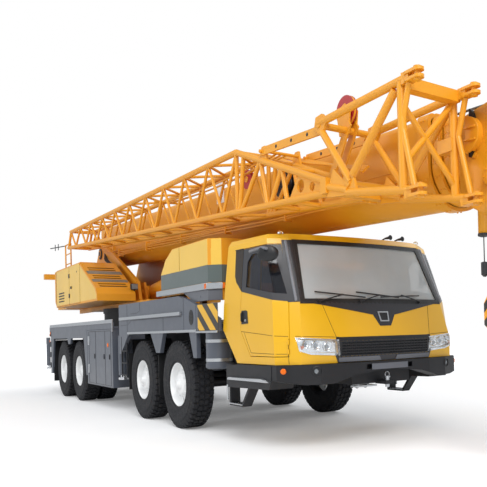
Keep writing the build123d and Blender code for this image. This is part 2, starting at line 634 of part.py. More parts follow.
def boom_tube(half_w, half_h, rear, front, collar):
    """One hollow section with the thicker collar at its front."""
    with BuildSketch(boom_plane(rear)) as skin:
        add(boom_outline(half_w, half_h))
        add(boom_outline(half_w - BOOM_WALL, half_h - BOOM_WALL), mode=Mode.SUBTRACT)
    extrude(skin.sketch, amount=front - rear)
    with BuildSketch(boom_plane(front - collar)) as ring:
        add(boom_outline(half_w + 24, half_h + 24))
        add(boom_outline(half_w - BOOM_WALL, half_h - BOOM_WALL), mode=Mode.SUBTRACT)
    extrude(ring.sketch, amount=collar)


for name, half_w, half_h, rear, front, collar in BOOM_SECTIONS:
    with BuildPart() as section:
        boom_tube(half_w, half_h, rear, front, collar)
        if name == "boom_base":
            # foot lugs and the eye of the luffing cylinder
            for side in (-1, 1):
                low, high = min(side * 376, side * 436), max(side * 376, side * 436)
                boom_plate([(-350, 100), (-180, -130), (150, -160), (700, 0), (700, 300), (-350, 300)], low, high)
                low, high = min(side * 160, side * 220), max(side * 160, side * 220)
                boom_plate([(5500, -200), (5700, -450), (6000, -450), (6300, -200)], low, high)
            with BuildSketch(Plane.XZ) as pin:
                with Locations((PIVOT.X, PIVOT.Z)):
                    Circle(80 + RUN)
            extrude(pin.sketch, amount=500, both=True, mode=Mode.SUBTRACT)
            rod((LUFF_EYE.X, -220, LUFF_EYE.Z), (LUFF_EYE.X, 220, LUFF_EYE.Z), 60)
        if name == "boom_head":
            for side in (-1, 1):
                low, high = min(side * 330, side * 370), max(side * 330, side * 370)
                boom_plate(HEAD_CHEEK, low, high)
                # stiffening rim round the front of each cheek
                low, high = min(side * 370, side * 410), max(side * 370, side * 410)
                boom_plate(HEAD_RIM, low, high)
            with BuildSketch(boom_plane(11480)) as wall:
                Rectangle(740, 620)
            extrude(wall.sketch, amount=60)
            for s, n, radius, sheaves in HEAD_SHEAVES:
                centre = along(s, n)
                rod((centre.X, -400, centre.Z), (centre.X, 400, centre.Z), 55)
                for sheave in range(sheaves):
                    middle = (sheave - (sheaves - 1) / 2) * SHEAVE_PITCH
                    grooved(centre, middle, radius)
            # half-moon guard with its two ribs over the side sheave
            guard = along(11660, -180)
            with BuildSketch(Plane(origin=(guard.X, -410, guard.Z), x_dir=BOOM_DIR, z_dir=(0, -1, 0))) as moon:
                Circle(165)
                Rectangle(400, 400, align=(Align.MAX, Align.CENTER), mode=Mode.SUBTRACT)
            extrude(moon.sketch, amount=-45)
            extrude(moon.sketch, amount=25)
            for lift in (-55, 55):
                rib = guard + BOOM_UP * lift
                boom_plate([(11660, -180 + lift - 8), (11790, -180 + lift - 8), (11790, -180 + lift + 8),
                            (11660, -180 + lift + 8)], -455, -430)
            # guide tube of the hoist limit weight
            tube_top = along(11700, -330)
            rod((tube_top.X, -300, tube_top.Z + 60), (tube_top.X, -300, tube_top.Z - 260), 48)
    finish(section, name)

# ------------------------------------------------------------------ stowed lattice jib
# The jib lies upside down along the boom's right side; its two upright faces are half a pitch apart.
JIB_NEAR = -1150
JIB_FAR = -720
CHORD_R = 38
LACE_R = 19
JIB_KNEE_X = 3218                             # where the upper chord turns down
JIB_NOSE_X = 5200
JIB_PITCH = 838
JIB_PANELS = 10
JIB_LOW_TAIL_X = -5400
BRACKET_X = (-1200, 3600)                     # where it hangs on the boom
FRAME_NEAR = -1200                            # base frame's two side planes
FRAME_FAR = -560


def jib_low(x):
    return 2648 + (5176 - x) * 0.0637


def jib_high(x):
    """Upper chord: nearly level as far as the knee, then down to the gusset."""
    if x <= JIB_KNEE_X:
        return 3495 + (JIB_KNEE_X - x) * 0.0185
    return 3495 - (x - JIB_KNEE_X) * 0.3746


def upper(x, y):
    return (x, y, jib_high(x))


def lower(x, y):
    return (x, y, jib_low(x))


with BuildPart() as jib_lattice:
    tail_x = JIB_KNEE_X - JIB_PITCH * JIB_PANELS
    near_tops = [JIB_KNEE_X - JIB_PITCH * i for i in range(JIB_PANELS + 1)]
    mid_tops = [x - JIB_PITCH / 2 for x in near_tops[:-1]]
    for y in (JIB_NEAR, JIB_FAR):
        rod(lower(JIB_LOW_TAIL_X, y), lower(JIB_NOSE_X, y), CHORD_R)
        rod(upper(tail_x, y), upper(JIB_KNEE_X, y), CHORD_R)
        rod(upper(JIB_KNEE_X, y), upper(JIB_NOSE_X, y), CHORD_R)
        rod(upper(tail_x, y), lower(JIB_LOW_TAIL_X, y), LACE_R + 6)
        # uprights under the knee and the two apexes before the gusset
        for top_x, foot_x in ((3218, 3218), (3409, 3280), (3832, 3328), (3832, 3977), (4316, 4050), (4316, 4415)):
            rod(upper(top_x, y), lower(foot_x, y), 26)
        plate([(4463, 2700), (4673, 2940), (5190, 2760), (5190, 2650)], y - 8, y + 8)
        for hole_x, hole_z, hole_r in ((4704, 2807, 68), (4927, 2760, 48), (5107, 2712, 25)):
            rod((hole_x, y - 20, hole_z), (hole_x, y + 20, hole_z), hole_r, Mode.SUBTRACT)
    # lacing of the near face and of the far face, which is half a pitch on
    for near_x, next_x, mid_x in zip(near_tops, near_tops[1:], mid_tops):
        rod(upper(near_x, JIB_NEAR), lower(mid_x, JIB_NEAR), LACE_R)
        rod(lower(mid_x, JIB_NEAR), upper(next_x, JIB_NEAR), LACE_R)
        rod(lower(near_x, JIB_FAR), upper(mid_x, JIB_FAR), LACE_R)
        rod(upper(mid_x, JIB_FAR), lower(next_x, JIB_FAR), LACE_R)
        # zigzag across the top and the underside
        rod(upper(near_x, JIB_NEAR), upper(mid_x, JIB_FAR), LACE_R)
        rod(upper(mid_x, JIB_FAR), upper(next_x, JIB_NEAR), LACE_R)
        rod(lower(near_x, JIB_FAR), lower(mid_x, JIB_NEAR), LACE_R)
        rod(lower(mid_x, JIB_NEAR), lower(next_x, JIB_FAR), LACE_R)
    for x in (tail_x, JIB_KNEE_X, 3832, 4316):
        rod(upper(x, JIB_NEAR), upper(x, JIB_FAR), 26)
    for x in (JIB_LOW_TAIL_X, 3977, 4415):
        rod(lower(x, JIB_NEAR), lower(x, JIB_FAR), 26)
    # hangers with a pad on the boom's side
    for x in BRACKET_X:
        middle = PIVOT.Z + BOOM_RISE - (x - PIVOT.X) * SIN / COS
        rod(lower(x, JIB_FAR), (x, -440, middle + 30), 38)
        block(x - 90, x + 90, -455, -400, middle - 30, middle + 90)
    # lugs of the two stay bars
    for y in (JIB_NEAR, JIB_FAR):
        plate([(3800, 3270), (4010, 3190), (3960, 3400), (3890, 3400)], y - 14, y + 14)
finish(jib_lattice, "jib_lattice")

APEX = (5141, 3326)                           # (x, z) of the base frame's rear top corner
FRAME_TUBES = ((APEX, (6497, 3348), 37), ((5205, 3226), (5661, 2657), 34), ((6322, 3292), (5694, 2720), 37),
               ((5250, 2690), (5627, 2590), 37), ((5600, 2572), (6531, 2427), 37), ((6400, 2990), (6500, 3300), 26),
               ((6400, 2990), (6539, 2443), 26))
FORK_Z = ((3371, 3312), (2440, 2381))         # prongs of the upper and the lower fork
FORK_X = (6510, 6655)
with BuildPart() as jib_base_frame:
    # beam across the nose of the jib
    block(5200, 5300, FRAME_NEAR - 40, FRAME_FAR + 40, 2620, 2770)
    for y, post_x in ((FRAME_NEAR, 6400), (FRAME_FAR, 6345)):
        for (x0, z0), (x1, z1), radius in FRAME_TUBES:
            rod((x0, y, z0), (x1, y, z1), radius)
        rod((post_x, y, 2455), (post_x, y, 3330), 38)
        plate([(5500, 2560), (5560, 2740), (5700, 2740), (5760, 2545)], y - 12, y + 12)
        plate([(5080, 3290), (5110, 3390), (5220, 3400), (5300, 3320), (5230, 3220), (5170, 3210)], y - 16, y + 16)
        for prongs in FORK_Z:
            plate([(6440, prongs[1] - 18), (6440, prongs[0] + 18), (6530, prongs[0] + 12), (6530, prongs[1] - 12)],
                  y - 35, y + 35)
            for z in prongs:
                with BuildSketch(Plane.XY.offset(z - 12)) as prong:
                    with Locations((sum(FORK_X) / 2 - 20, y)):
                        SlotOverall(FORK_X[1] - FORK_X[0] + 60, 90)
                    with Locations((FORK_X[1] - 50, y)):
                        Circle(24, mode=Mode.SUBTRACT)
                extrude(prong.sketch, amount=24)
            rod((FORK_X[1] - 50, y, prongs[1] - 22), (FORK_X[1] - 50, y, prongs[0] + 22), 24.5)
    # square beam, cross braces and the box bracket on the far post
    block(6340, 6440, FRAME_NEAR, FRAME_FAR, 3280, 3380)
    rod((6400, FRAME_NEAR, 3169), (6345, FRAME_FAR, 2561), 26)
    rod((6345, FRAME_FAR, 3300), (6400, FRAME_NEAR, 2657), 26)
    block(6174, 6358, FRAME_FAR - 45, FRAME_FAR + 45, 2870, 2990)
    rod((5661, FRAME_NEAR, 2640), (5661, FRAME_FAR, 2640), 34)
    rod((5205, FRAME_NEAR, 3290), (5205, FRAME_FAR, 3290), 34)
    # stay bars, pinned at the apex and on the jib
    for y in (FRAME_NEAR + 32, FRAME_FAR - 32):
        plate([(3890, 3300), (3930, 3385), (5130, 3318), (5120, 3228)], y - 12, y + 12)
        for pin_x, pin_z in ((3927, 3340), (5110, 3275)):
            rod((pin_x, y - 44, pin_z), (pin_x, y + 44, pin_z), 20)
    # guide sheave between its yoke plates
    for y in (-925, -835):
        plate([(5100, 3250), (5060, 3500), (5200, 3560), (5290, 3480), (5260, 3250)], y - 8, y + 8)
    with BuildSketch(Plane.XZ.offset(858)) as guide:
        with Locations((5165, 3500)):
            Circle(150)
    extrude(guide.sketch, amount=44)
    rod((5165, -940, 3500), (5165, -820, 3500), 28)
finish(jib_base_frame, "jib_base_frame")

# ------------------------------------------------------------------ hook block
HEAD_SHEAVE = along(11880, -100)
BLOCK_Z = 1430                                # axis of the block's own sheaves
BLOCK_CHEEK = [(-200, 1660), (200, 1660), (290, 1530), (290, 1330), (150, 1200), (-150, 1200), (-290, 1330),
               (-290, 1530)]
FALL_X = 206                                  # rope falls, either side of the axis
HOOK_Z = 850                                  # middle of the hook's throat
HOOK_R = 140
THROAT_R = 72
with BuildPart() as hook_block:
    x, z = HEAD_SHEAVE.X, HEAD_SHEAVE.Z
    for rope_y in (-SHEAVE_PITCH, 0, SHEAVE_PITCH):
        for fall in (-FALL_X, FALL_X):
            rod((x + fall, rope_y, BLOCK_Z), (x + fall, rope_y, z - 250), 11)
        grooved(Vector(x, 0, BLOCK_Z), rope_y, 235)
    for y0 in (-215, -75, 50, 190):
        plate([(x + dx, zz) for dx, zz in BLOCK_CHEEK], y0, y0 + 25)
    rod((x, -235, BLOCK_Z), (x, 235, BLOCK_Z), 55)
    # crosshead, shank and hook
    block(x - 100, x + 100, -215, 215, 1120, 1230)
    rod((x, 0, HOOK_Z + HOOK_R - 30), (x, 0, 1140), 48)
    with BuildSketch(Plane.XZ.offset(-45)) as hook:
        with Locations((x, HOOK_Z)):
            Circle(HOOK_R)
            Circle(THROAT_R, mode=Mode.SUBTRACT)
        # mouth
        with BuildLine():
            Polyline((x + 20, HOOK_Z + 10), (x + 30, HOOK_Z + 125), (x + 170, HOOK_Z + 125), (x + 170, HOOK_Z + 10),
                     close=True)
        make_face(mode=Mode.SUBTRACT)
        with Locations((x, HOOK_Z + HOOK_R - 15)):
            Circle(50)
    extrude(hook.sketch, amount=90)
finish(hook_block, "hook_block")
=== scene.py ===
"""Looks of a four-axle truck crane: paint, glass, tyres, lamps, rails, ropes and trim.

Lengths are metres in the frame of the CAD part: +X forward, +Y left, +Z up, origin on the ground.
"""
import json
from math import ceil, cos, dist, hypot, pi, radians, sin, sqrt

import bmesh
import bpy
from mathutils import Matrix, Vector


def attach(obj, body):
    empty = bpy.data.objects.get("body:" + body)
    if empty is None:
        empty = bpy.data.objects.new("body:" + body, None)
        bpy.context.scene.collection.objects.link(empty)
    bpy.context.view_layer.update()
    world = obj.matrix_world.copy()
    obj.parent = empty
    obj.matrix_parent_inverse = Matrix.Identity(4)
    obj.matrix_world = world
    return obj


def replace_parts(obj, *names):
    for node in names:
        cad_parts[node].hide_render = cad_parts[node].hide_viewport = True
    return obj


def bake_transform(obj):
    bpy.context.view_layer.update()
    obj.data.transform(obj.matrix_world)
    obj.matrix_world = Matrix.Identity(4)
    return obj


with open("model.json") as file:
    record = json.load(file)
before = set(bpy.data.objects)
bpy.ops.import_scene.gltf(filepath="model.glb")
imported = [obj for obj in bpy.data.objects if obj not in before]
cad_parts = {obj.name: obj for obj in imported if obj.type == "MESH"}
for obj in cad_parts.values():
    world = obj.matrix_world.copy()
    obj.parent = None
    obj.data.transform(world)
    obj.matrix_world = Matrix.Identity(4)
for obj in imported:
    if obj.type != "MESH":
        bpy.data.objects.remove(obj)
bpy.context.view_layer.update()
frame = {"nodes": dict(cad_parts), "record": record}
NODES = frame["nodes"]
SIDES = (("right", -1), ("left", 1))


# ------------------------------------------------------------------ finishes
def new_finish(name):
    """An empty node material, with its tree and its shader."""
    finish = bpy.data.materials.new(name)
    finish.use_nodes = True
    tree = finish.node_tree
    return finish, tree, tree.nodes["Principled BSDF"]


def add_node(tree, kind, out, inputs, **settings):
    """Adds a node, sets or feeds its inputs from a table and returns one of its outputs."""
    node = tree.nodes.new(kind)
    for key, value in settings.items():
        setattr(node, key, value)
    for key, source in inputs.items():
        if isinstance(source, bpy.types.NodeSocket):
            tree.links.new(source, node.inputs[key])
        else:
            node.inputs[key].default_value = source
    return node.outputs[out]


def speckle(tree, scale, detail=3.0, stretch=(1, 1, 1)):
    """Noise on object coordinates."""
    place = add_node(tree, "ShaderNodeTexCoord", "Object", {})
    place = add_node(tree, "ShaderNodeMapping", "Vector", {"Vector": place, "Scale": stretch})
    return add_node(tree, "ShaderNodeTexNoise", "Fac", {"Vector": place, "Scale": scale, "Detail": detail})


def ramp(tree, source, low, high, value_low, value_high):
    """Maps a source from low..high to two values."""
    return add_node(tree, "ShaderNodeMapRange", "Result", {"Value": source, "From Min": low,
        "From Max": high, "To Min": value_low, "To Max": value_high})


def blend_colours(tree, factor, one, two):
    """Mixes two colours by a factor socket; each colour is a tuple or a socket."""
    one, two = ((*colour, 1) if isinstance(colour, tuple) else colour for colour in (one, two))
    return add_node(tree, "ShaderNodeMix", 2, {0: factor, 6: one, 7: two}, data_type="RGBA")


def shade(code, share=1.0, lift=0.0):
    """A linear colour from its six-digit code, made lighter or darker."""
    parts = [int(code[i:i + 2], 16) / 255 for i in (0, 2, 4)]
    linear = [p / 12.92 if p <= 0.04045 else ((p + 0.055) / 1.055) ** 2.4 for p in parts]
    return tuple(min(1, c * share + lift) for c in linear)


def dressed(name, tones, rough, bump=None, **settings):
    """A finish: speckles blend its tones one over another and drive its roughness and its bump.

    A tone is (speckle, low, high, most, colour under, colour over), rough is (speckle, low, high, least,
    most) and bump is (speckle, strength, depth); a speckle is (scale, detail, stretch).
    """
    finish, tree, shader = new_finish(name)
    colour = None
    for pattern, low, high, most, under, over in tones:
        share = ramp(tree, speckle(tree, *pattern), low, high, 0, most)
        colour = blend_colours(tree, share, colour or under, over)
    tree.links.new(colour, shader.inputs["Base Color"])
    pattern, *levels = rough
    tree.links.new(ramp(tree, speckle(tree, *pattern), *levels), shader.inputs["Roughness"])
    if bump:
        pattern, strength, depth = bump
        relief = add_node(tree, "ShaderNodeBump", "Normal", {"Height": speckle(tree, *pattern),
            "Strength": strength, "Distance": depth})
        tree.links.new(relief, shader.inputs["Normal"])
    for key, value in settings.items():
        shader.inputs[key.replace("_", " ")].default_value = value
    return finish


def sprayed(name, code, rough, coat, dust):
    """Sprayed enamel with orange peel, a slow drift of tone and road dust in random patches."""
    return dressed(name, (((0.9, 2), 0.3, 0.7, 1, shade(code, 0.96), shade(code, 1.03)),
        ((2.5, 5), 0.5, 0.85, dust, None, shade(ROAD_DUST))), ((6, 3), 0.3, 0.75, rough - 0.02,
        rough + 0.05), ((90, 2), 0.015, 0.001), Coat_Weight=coat, Coat_Roughness=0.12)


def moulded(name, code, rough):
    """Moulded plastic with a fine leather grain."""
    return dressed(name, (((5, 4), 0.3, 0.7, 1, shade(code), shade(code, 1.35, 0.004)),),
        ((40, 3), 0.3, 0.7, rough - 0.08, rough + 0.1), ((420, 2), 0.25, 0.0008))


def bare_metal(name, code, rough):
    """Bright metal with drawn streaks."""
    return dressed(name, (((60, 3, (1, 1, 12)), 0.3, 0.7, 1, shade(code, 0.85), shade(code)),),
        ((90, 3), 0.3, 0.7, rough - 0.08, rough + 0.12), ((500, 2), 0.06, 0.0005), Metallic=1)


def tread_rubber(name, code):
    """Tyre rubber, greyer where dust lies."""
    return dressed(name, (((14, 6), 0.5, 0.8, 0.25, shade(code), shade(TYRE_DUST)),),
        ((50, 3), 0.3, 0.7, 0.7, 0.92), ((300, 3), 0.3, 0.001))


def clear_pane(name, code, cover):
    """Thin glazing that lets light straight through; cover is how much of the view its tint takes."""
    return dressed(name, (((3, 4), 0.3, 0.75, 1, shade(code), shade(code, 1.06)),),
        ((8, 3), 0.3, 0.7, 0.03, 0.07), Alpha=cover)


def pane(name, code, through):
    """Tinted lamp glass."""
    return dressed(name, (((4, 4), 0.35, 0.7, 1, shade(code), shade(code, 1.06)),),
        ((12, 3), 0.3, 0.7, 0.01, 0.04), Transmission_Weight=through, IOR=1.45)


ROAD_DUST = "6e6558"
TYRE_DUST = "4a453f"
CAB_YELLOW = sprayed("cab_yellow_enamel", "E3AE10", 0.34, 0.2, 0.0)
CRANE_YELLOW = sprayed("crane_yellow_enamel", "E2991A", 0.45, 0.1, 0.06)
CARRIER_GREY = sprayed("carrier_slate_enamel", "50555F", 0.38, 0.25, 0.08)
CARRIER_BLACK = sprayed("chassis_black", "0A0B11", 0.5, 0.0, 0.0)
RUBBER = tread_rubber("tyre_rubber", "15161B")
CHROME = bare_metal("plated_rod", "D5D7DA", 0.16)
BLACK_PLASTIC = moulded("black_mouldings", "0F1013", 0.45)
DARK_TRIM = moulded("cab_lining", "3A3B3E", 0.7)
ENGINE_IRON = sprayed("engine_casting", "5B5E62", 0.55, 0.0, 0.4)
LAMP_GLASS = pane("lamp_cover", "F2F5F7", 0.9)
SCREEN_GLASS = clear_pane("screen_glass", "DCE4E6", 0.42)

WHEEL_WHITE = sprayed("wheel_white_enamel", "E9EAEA", 0.38, 0.2, 0.18)
SILVER = bare_metal("brushed_rail", "C9CCCF", 0.34)
STEEL_ROPE = bare_metal("greased_rope", "6E6A63", 0.5)
DARK_STEEL = sprayed("dark_fittings", "1F2023", 0.45, 0.1, 0.05)
SHEAVE_RED = sprayed("sheave_red", "A81F22", 0.42, 0.1, 0.15)
BAND_GREEN = sprayed("hood_band_green_grey", "55605E", 0.36, 0.25, 0.03)
PALE_YELLOW = sprayed("hood_pale_yellow", "EABF4C", 0.36, 0.25, 0.03)
AMBER = pane("amber_lens", "FF7A10", 0.25)
RED_LENS = pane("red_lens", "D81010", 0.25)
REFLECTOR = bare_metal("lamp_reflector", "F4F6F8", 0.14)
LENS_GREY = pane("projector_lens", "B9C2C8", 0.6)
MIRROR = bare_metal("mirror_silvering", "E4E8EA", 0.04)
GASKET = moulded("screen_gasket", "08090B", 0.5)
PILLAR_BLACK = sprayed("pillar_satin_black", "232429", 0.4, 0.15, 0.02)
PILLAR_GREY = sprayed("mirror_arm_grey", "6E7178", 0.4, 0.15, 0.1)
CHIN_GREY = sprayed("chin_strip_grey", "5C5F66", 0.35, 0.2, 0.1)
COMB_GREY = moulded("grille_comb_black", "1E1F24", 0.55)
WHEEL_GREY = moulded("steering_wheel_grey", "6B6F73", 0.6)
BODY_SEAM = moulded("panel_gap", "6B4E0C", 0.8)
HAZARD_BLACK = sprayed("hazard_black", "2B2825", 0.45, 0.1, 0.15)
GRIP_GREY = moulded("grip_band", "7C756A", 0.85)
SEAT_CLOTH = moulded("seat_cloth", "A9ADB0", 0.9)
SIDE_GLASS = clear_pane("side_glass", "2A2F3A", 0.3)
DOOR_GLASS = clear_pane("door_glass", "20242F", 0.5)
DARK_GLASS = clear_pane("quarter_glass", "16181E", 0.85)
LINING_GREY = moulded("head_lining", "C6C9CA", 0.85)

SLOT_FINISH = {"crane_yellow": CRANE_YELLOW, "cab_yellow": CAB_YELLOW, "carrier_grey": CARRIER_GREY,
    "carrier_black": CARRIER_BLACK, "tyre": RUBBER, "cylinder_chrome": CHROME, "glass": SCREEN_GLASS,
    "lamp": LAMP_GLASS, "interior": DARK_TRIM, "black_plastic": BLACK_PLASTIC, "engine_iron": ENGINE_IRON,}
SLOT_OF_NODE = {entry["node"]: entry["material_slot"] for entry in frame["record"]["subparts"]}
for node_name, node in NODES.items():
    node.data.materials.clear()
    node.data.materials.append(SLOT_FINISH[SLOT_OF_NODE[node_name]])


# ------------------------------------------------------------------ shapes
def blanks(count):
    """Empty meshes to work on."""
    return [bmesh.new() for _ in range(count)]


def made(shape, *sizes, **more):
    """A worked mesh that holds one shape."""
    work = bmesh.new()
    shape(work, *sizes, **more)
    return work


def across(side, one, two):
    """Two distances from the middle plane as y values of one side, the lower first."""
    return sorted((side * one, side * two))


def mesh_of(name, work):
    """A plain mesh from a worked one, its faces turned outwards."""
    bmesh.ops.recalc_face_normals(work, faces=work.faces)
    mesh = bpy.data.meshes.new(name)
    work.to_mesh(mesh)
    work.free()
    return mesh


def placed(name, mesh):
    """An object in the scene that shows a mesh, lamp or camera."""
    piece = bpy.data.objects.new(name, mesh)
    bpy.context.scene.collection.objects.link(piece)
    return piece


def settle(name, work, finish, body, bevel=0.0, smooth=True):
    """Makes a piece of the worked mesh, gives it its finish and lets it ride on its body."""
    mesh = mesh_of(name, work)
    mesh.materials.append(finish)
    piece = placed(name, mesh)
    if smooth:
        mesh.shade_smooth()
        mesh.set_sharp_from_angle(angle=radians(38))
    if bevel:
        edge = piece.modifiers.new("eased_edges", "BEVEL")
        edge.width = bevel
        edge.segments = 2
        edge.limit_method = "ANGLE"
        edge.angle_limit = radians(40)
        edge.harden_normals = False
    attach(piece, body)
    return piece


def settle_all(body, *pieces):
    """Settles pieces of one body, each given as name, worked mesh, finish and, if any, bevel and smooth."""
    for name, work, finish, *edges in pieces:
        settle(name, work, finish, body, *edges)


def prism(work, ring, shift):
    """A closed prism: a ring of points pushed along a vector."""
    near = [work.verts.new(Vector(p)) for p in ring]
    far = [work.verts.new(Vector(p) + Vector(shift)) for p in ring]
    work.faces.new(near)
    work.faces.new(far[::-1])
    for i in range(len(near)):
        j = (i + 1) % len(near)
        work.faces.new((near[j], near[i], far[i], far[j]))


def brick(work, x0, x1, y0, y1, z0, z1):
    prism(work, ((x0, y0, z0), (x1, y0, z0), (x1, y1, z0), (x0, y1, z0)), (0, 0, z1 - z0))


def side_plate(work, points, y0, y1):
    """A plate across the vehicle from its (x, z) outline."""
    prism(work, [(x, y0, z) for x, z in points], (0, y1 - y0, 0))


def frame_of(axis):
    """Two unit vectors square to an axis."""
    axis = Vector(axis).normalized()
    side = axis.cross(Vector((0, 0, 1)) if abs(axis.z) < 0.9 else Vector((1, 0, 0))).normalized()
    return side, axis.cross(side)


def turned(work, centre, axis, profile, sides=32):
    """A turned piece: profile of (distance along the axis, radius), closed on itself or at the axis."""
    centre, axis = Vector(centre), Vector(axis).normalized()
    u, v = frame_of(axis)
    rings = []
    for offset, radius in profile:
        middle = centre + axis * offset
        if radius < 1e-6:
            rings.append([work.verts.new(middle)])
        else:
            rings.append([work.verts.new(middle + (u * cos(t) + v * sin(t)) * radius)
                for t in (2 * pi * i / sides for i in range(sides))])
    pairs = list(zip(rings, rings[1:]))
    if len(rings[0]) > 1 and len(rings[-1]) > 1:
        pairs.append((rings[-1], rings[0]))
    for one, two in pairs:
        for i in range(sides):
            j = (i + 1) % sides
            corners = []
            for vert in (one[i % len(one)], one[j % len(one)], two[j % len(two)], two[i % len(two)]):
                if vert not in corners:
                    corners.append(vert)
            if len(corners) > 2:
                work.faces.new(corners)


def knob(work, centre, axis, edge, sides=32, tip=None):
    """A turned piece that closes on its axis: flat at both ends, or drawn to a tip at its far end."""
    last = edge[-1][0] if tip is None else tip
    turned(work, centre, axis, ((edge[0][0], 0), *edge, (last, 0)), sides)


def round_bar(work, start, end, radius, sides=14, end_radius=None):
    start, end = Vector(start), Vector(end)
    length = (end - start).length
    last = radius if end_radius is None else end_radius
    knob(work, start, end - start, ((0, radius), (length, last)), sides)


def rounded(path, radius, steps=5):
    """Replaces each inner corner of a path by a short arc."""
    points = [Vector(p) for p in path]
    line = [points[0]]
    for before, corner, after in zip(points, points[1:], points[2:]):
        cut = min(radius, (corner - before).length * 0.45, (after - corner).length * 0.45)
        first = corner + (before - corner).normalized() * cut
        last = corner + (after - corner).normalized() * cut
        for i in range(steps + 1):
            t = i / steps
            line.append(first * (1 - t) ** 2 + corner * 2 * t * (1 - t) + last * t ** 2)
    line.append(points[-1])
    return line


def tube(work, path, radius, sides=10, bend=0.0, lobes=0, lay=0.0):
    """A tube through a path; with lobes it is a stranded rope whose strands turn once in every lay."""
    line = rounded(path, bend) if bend else [Vector(p) for p in path]
    if lay:
        fine = [line[0]]
        for a, b in zip(line, line[1:]):
            count = max(1, round((b - a).length / (lay / 6)))
            fine += [a.lerp(b, (i + 1) / count) for i in range(count)]
        line = fine
    tangents = [(b - a).normalized() for a, b in zip(line, line[1:])]
    tangents.append(tangents[-1])
    u, _ = frame_of(tangents[0])
    rings, gone, before = [], 0.0, line[0]
    for i, point in enumerate(line):
        along = (tangents[max(0, i - 1)] + tangents[i]).normalized()
        u = (u - along * u.dot(along)).normalized()
        v = along.cross(u)
        gone += (point - before).length
        before = point
        twist = 2 * pi * gone / lay if lay else 0.0
        ring = []
        for k in range(sides):
            t = 2 * pi * k / sides
            swell = radius * (1 + 0.14 * cos(lobes * t)) if lobes else radius
            ring.append(work.verts.new(point + (u * cos(t + twist) + v * sin(t + twist)) * swell))
        rings.append(ring)
    for one, two in zip(rings, rings[1:]):
        for k in range(sides):
            j = (k + 1) % sides
            work.faces.new((one[k], one[j], two[j], two[k]))
    work.faces.new(rings[0][::-1])
    work.faces.new(rings[-1])


# ------------------------------------------------------------------ repeats by Geometry Nodes
def repeat_tree(name, layout):
    """A node tree that sets copies of a piece out in a ring, a square grid or a staggered one."""
    tree = bpy.data.node_groups.new(name, "GeometryNodeTree")
    tree.interface.new_socket("Geometry", in_out="OUTPUT", socket_type="NodeSocketGeometry")
    for label, kind in (("Piece", "Object"), ("Finish", "Material"), ("Centre", "Vector"),
            ("Turn", "Vector"), ("Count", "Int"), ("Rows", "Int"), ("Reach", "Float"),
            ("Row Reach", "Float")):
        tree.interface.new_socket(label, in_out="INPUT", socket_type=f"NodeSocket{kind}")
    given = tree.nodes.new("NodeGroupInput").outputs
    index = add_node(tree, "GeometryNodeInputIndex", 0, {})
    rotation = {}

    def maths(operation, one, two=0.0):
        return add_node(tree, "ShaderNodeMath", 0, {0: one, 1: two}, operation=operation)

    def geometry(kind, **inputs):
        return add_node(tree, f"GeometryNode{kind}", 0, inputs)

    if layout == "ring":
        points = geometry("MeshCircle", Vertices=given["Count"], Radius=given["Reach"])
        angle = maths("MULTIPLY", maths("DIVIDE", index, given["Count"]), 2 * pi)
        rotation["Rotation"] = add_node(tree, "ShaderNodeCombineXYZ", 0, {"Z": angle})
    else:
        points = add_node(tree, "GeometryNodeMeshGrid", "Mesh", {"Vertices X": given["Count"],
            "Vertices Y": given["Rows"], "Size X": given["Reach"], "Size Y": given["Row Reach"]})
    if layout == "staggered":
        # every other column moves up by half a row
        column = maths("FLOOR", maths("DIVIDE", index, given["Rows"]))
        half_row = maths("MULTIPLY", maths("DIVIDE", given["Row Reach"], given["Rows"]), 0.5)
        move = maths("MULTIPLY", maths("MODULO", column, 2), half_row)
        points = geometry("SetPosition", Geometry=points, Offset=add_node(tree, "ShaderNodeCombineXYZ", 0,
            {"Y": move}))
    piece = add_node(tree, "GeometryNodeObjectInfo", "Geometry", {"Object": given["Piece"]})
    copies = geometry("InstanceOnPoints", Points=points, Instance=piece, **rotation)
    copies = geometry("Transform", Geometry=copies, Translation=given["Centre"], Rotation=given["Turn"])
    copies = geometry("SetMaterial", Geometry=geometry("RealizeInstances", Geometry=copies),
        Material=given["Finish"])
    tree.links.new(copies, tree.nodes.new("NodeGroupOutput").inputs["Geometry"])
    return tree


RING = repeat_tree("set_out_in_a_ring", "ring")
GRID = repeat_tree("set_out_in_a_grid", "square")
COMB = repeat_tree("set_out_like_a_comb", "staggered")


def template(name, work):
    """A small piece that a node tree copies."""
    return bpy.data.objects.new(name, mesh_of(name, work))


def set_out(tree, piece, finish, centre, turn, count, reach, rows=1, row_reach=0.0):
    """The mesh of many copies of a piece, as a plain bmesh."""
    holder = placed("copies", bpy.data.meshes.new("copies"))
    maker = holder.modifiers.new("copies", "NODES")
    maker.node_group = tree
    names = {item.name: item.identifier for item in tree.interface.items_tree}
    for key, value in (("Piece", piece), ("Finish", finish), ("Centre", centre), ("Turn", turn),
            ("Count", count), ("Rows", rows), ("Reach", reach), ("Row Reach", row_reach)):
        maker[names[key]] = value
    settled = holder.evaluated_get(bpy.context.evaluated_depsgraph_get())
    baked = bpy.data.meshes.new_from_object(settled)
    work = bmesh.new()
    work.from_mesh(baked)
    bpy.data.objects.remove(holder)
    bpy.data.meshes.remove(baked)
    return work


def gather(target, source):
    """Adds one worked mesh to another."""
    spare = bpy.data.meshes.new("spare")
    source.to_mesh(spare)
    source.free()
    target.from_mesh(spare)
    bpy.data.meshes.remove(spare)


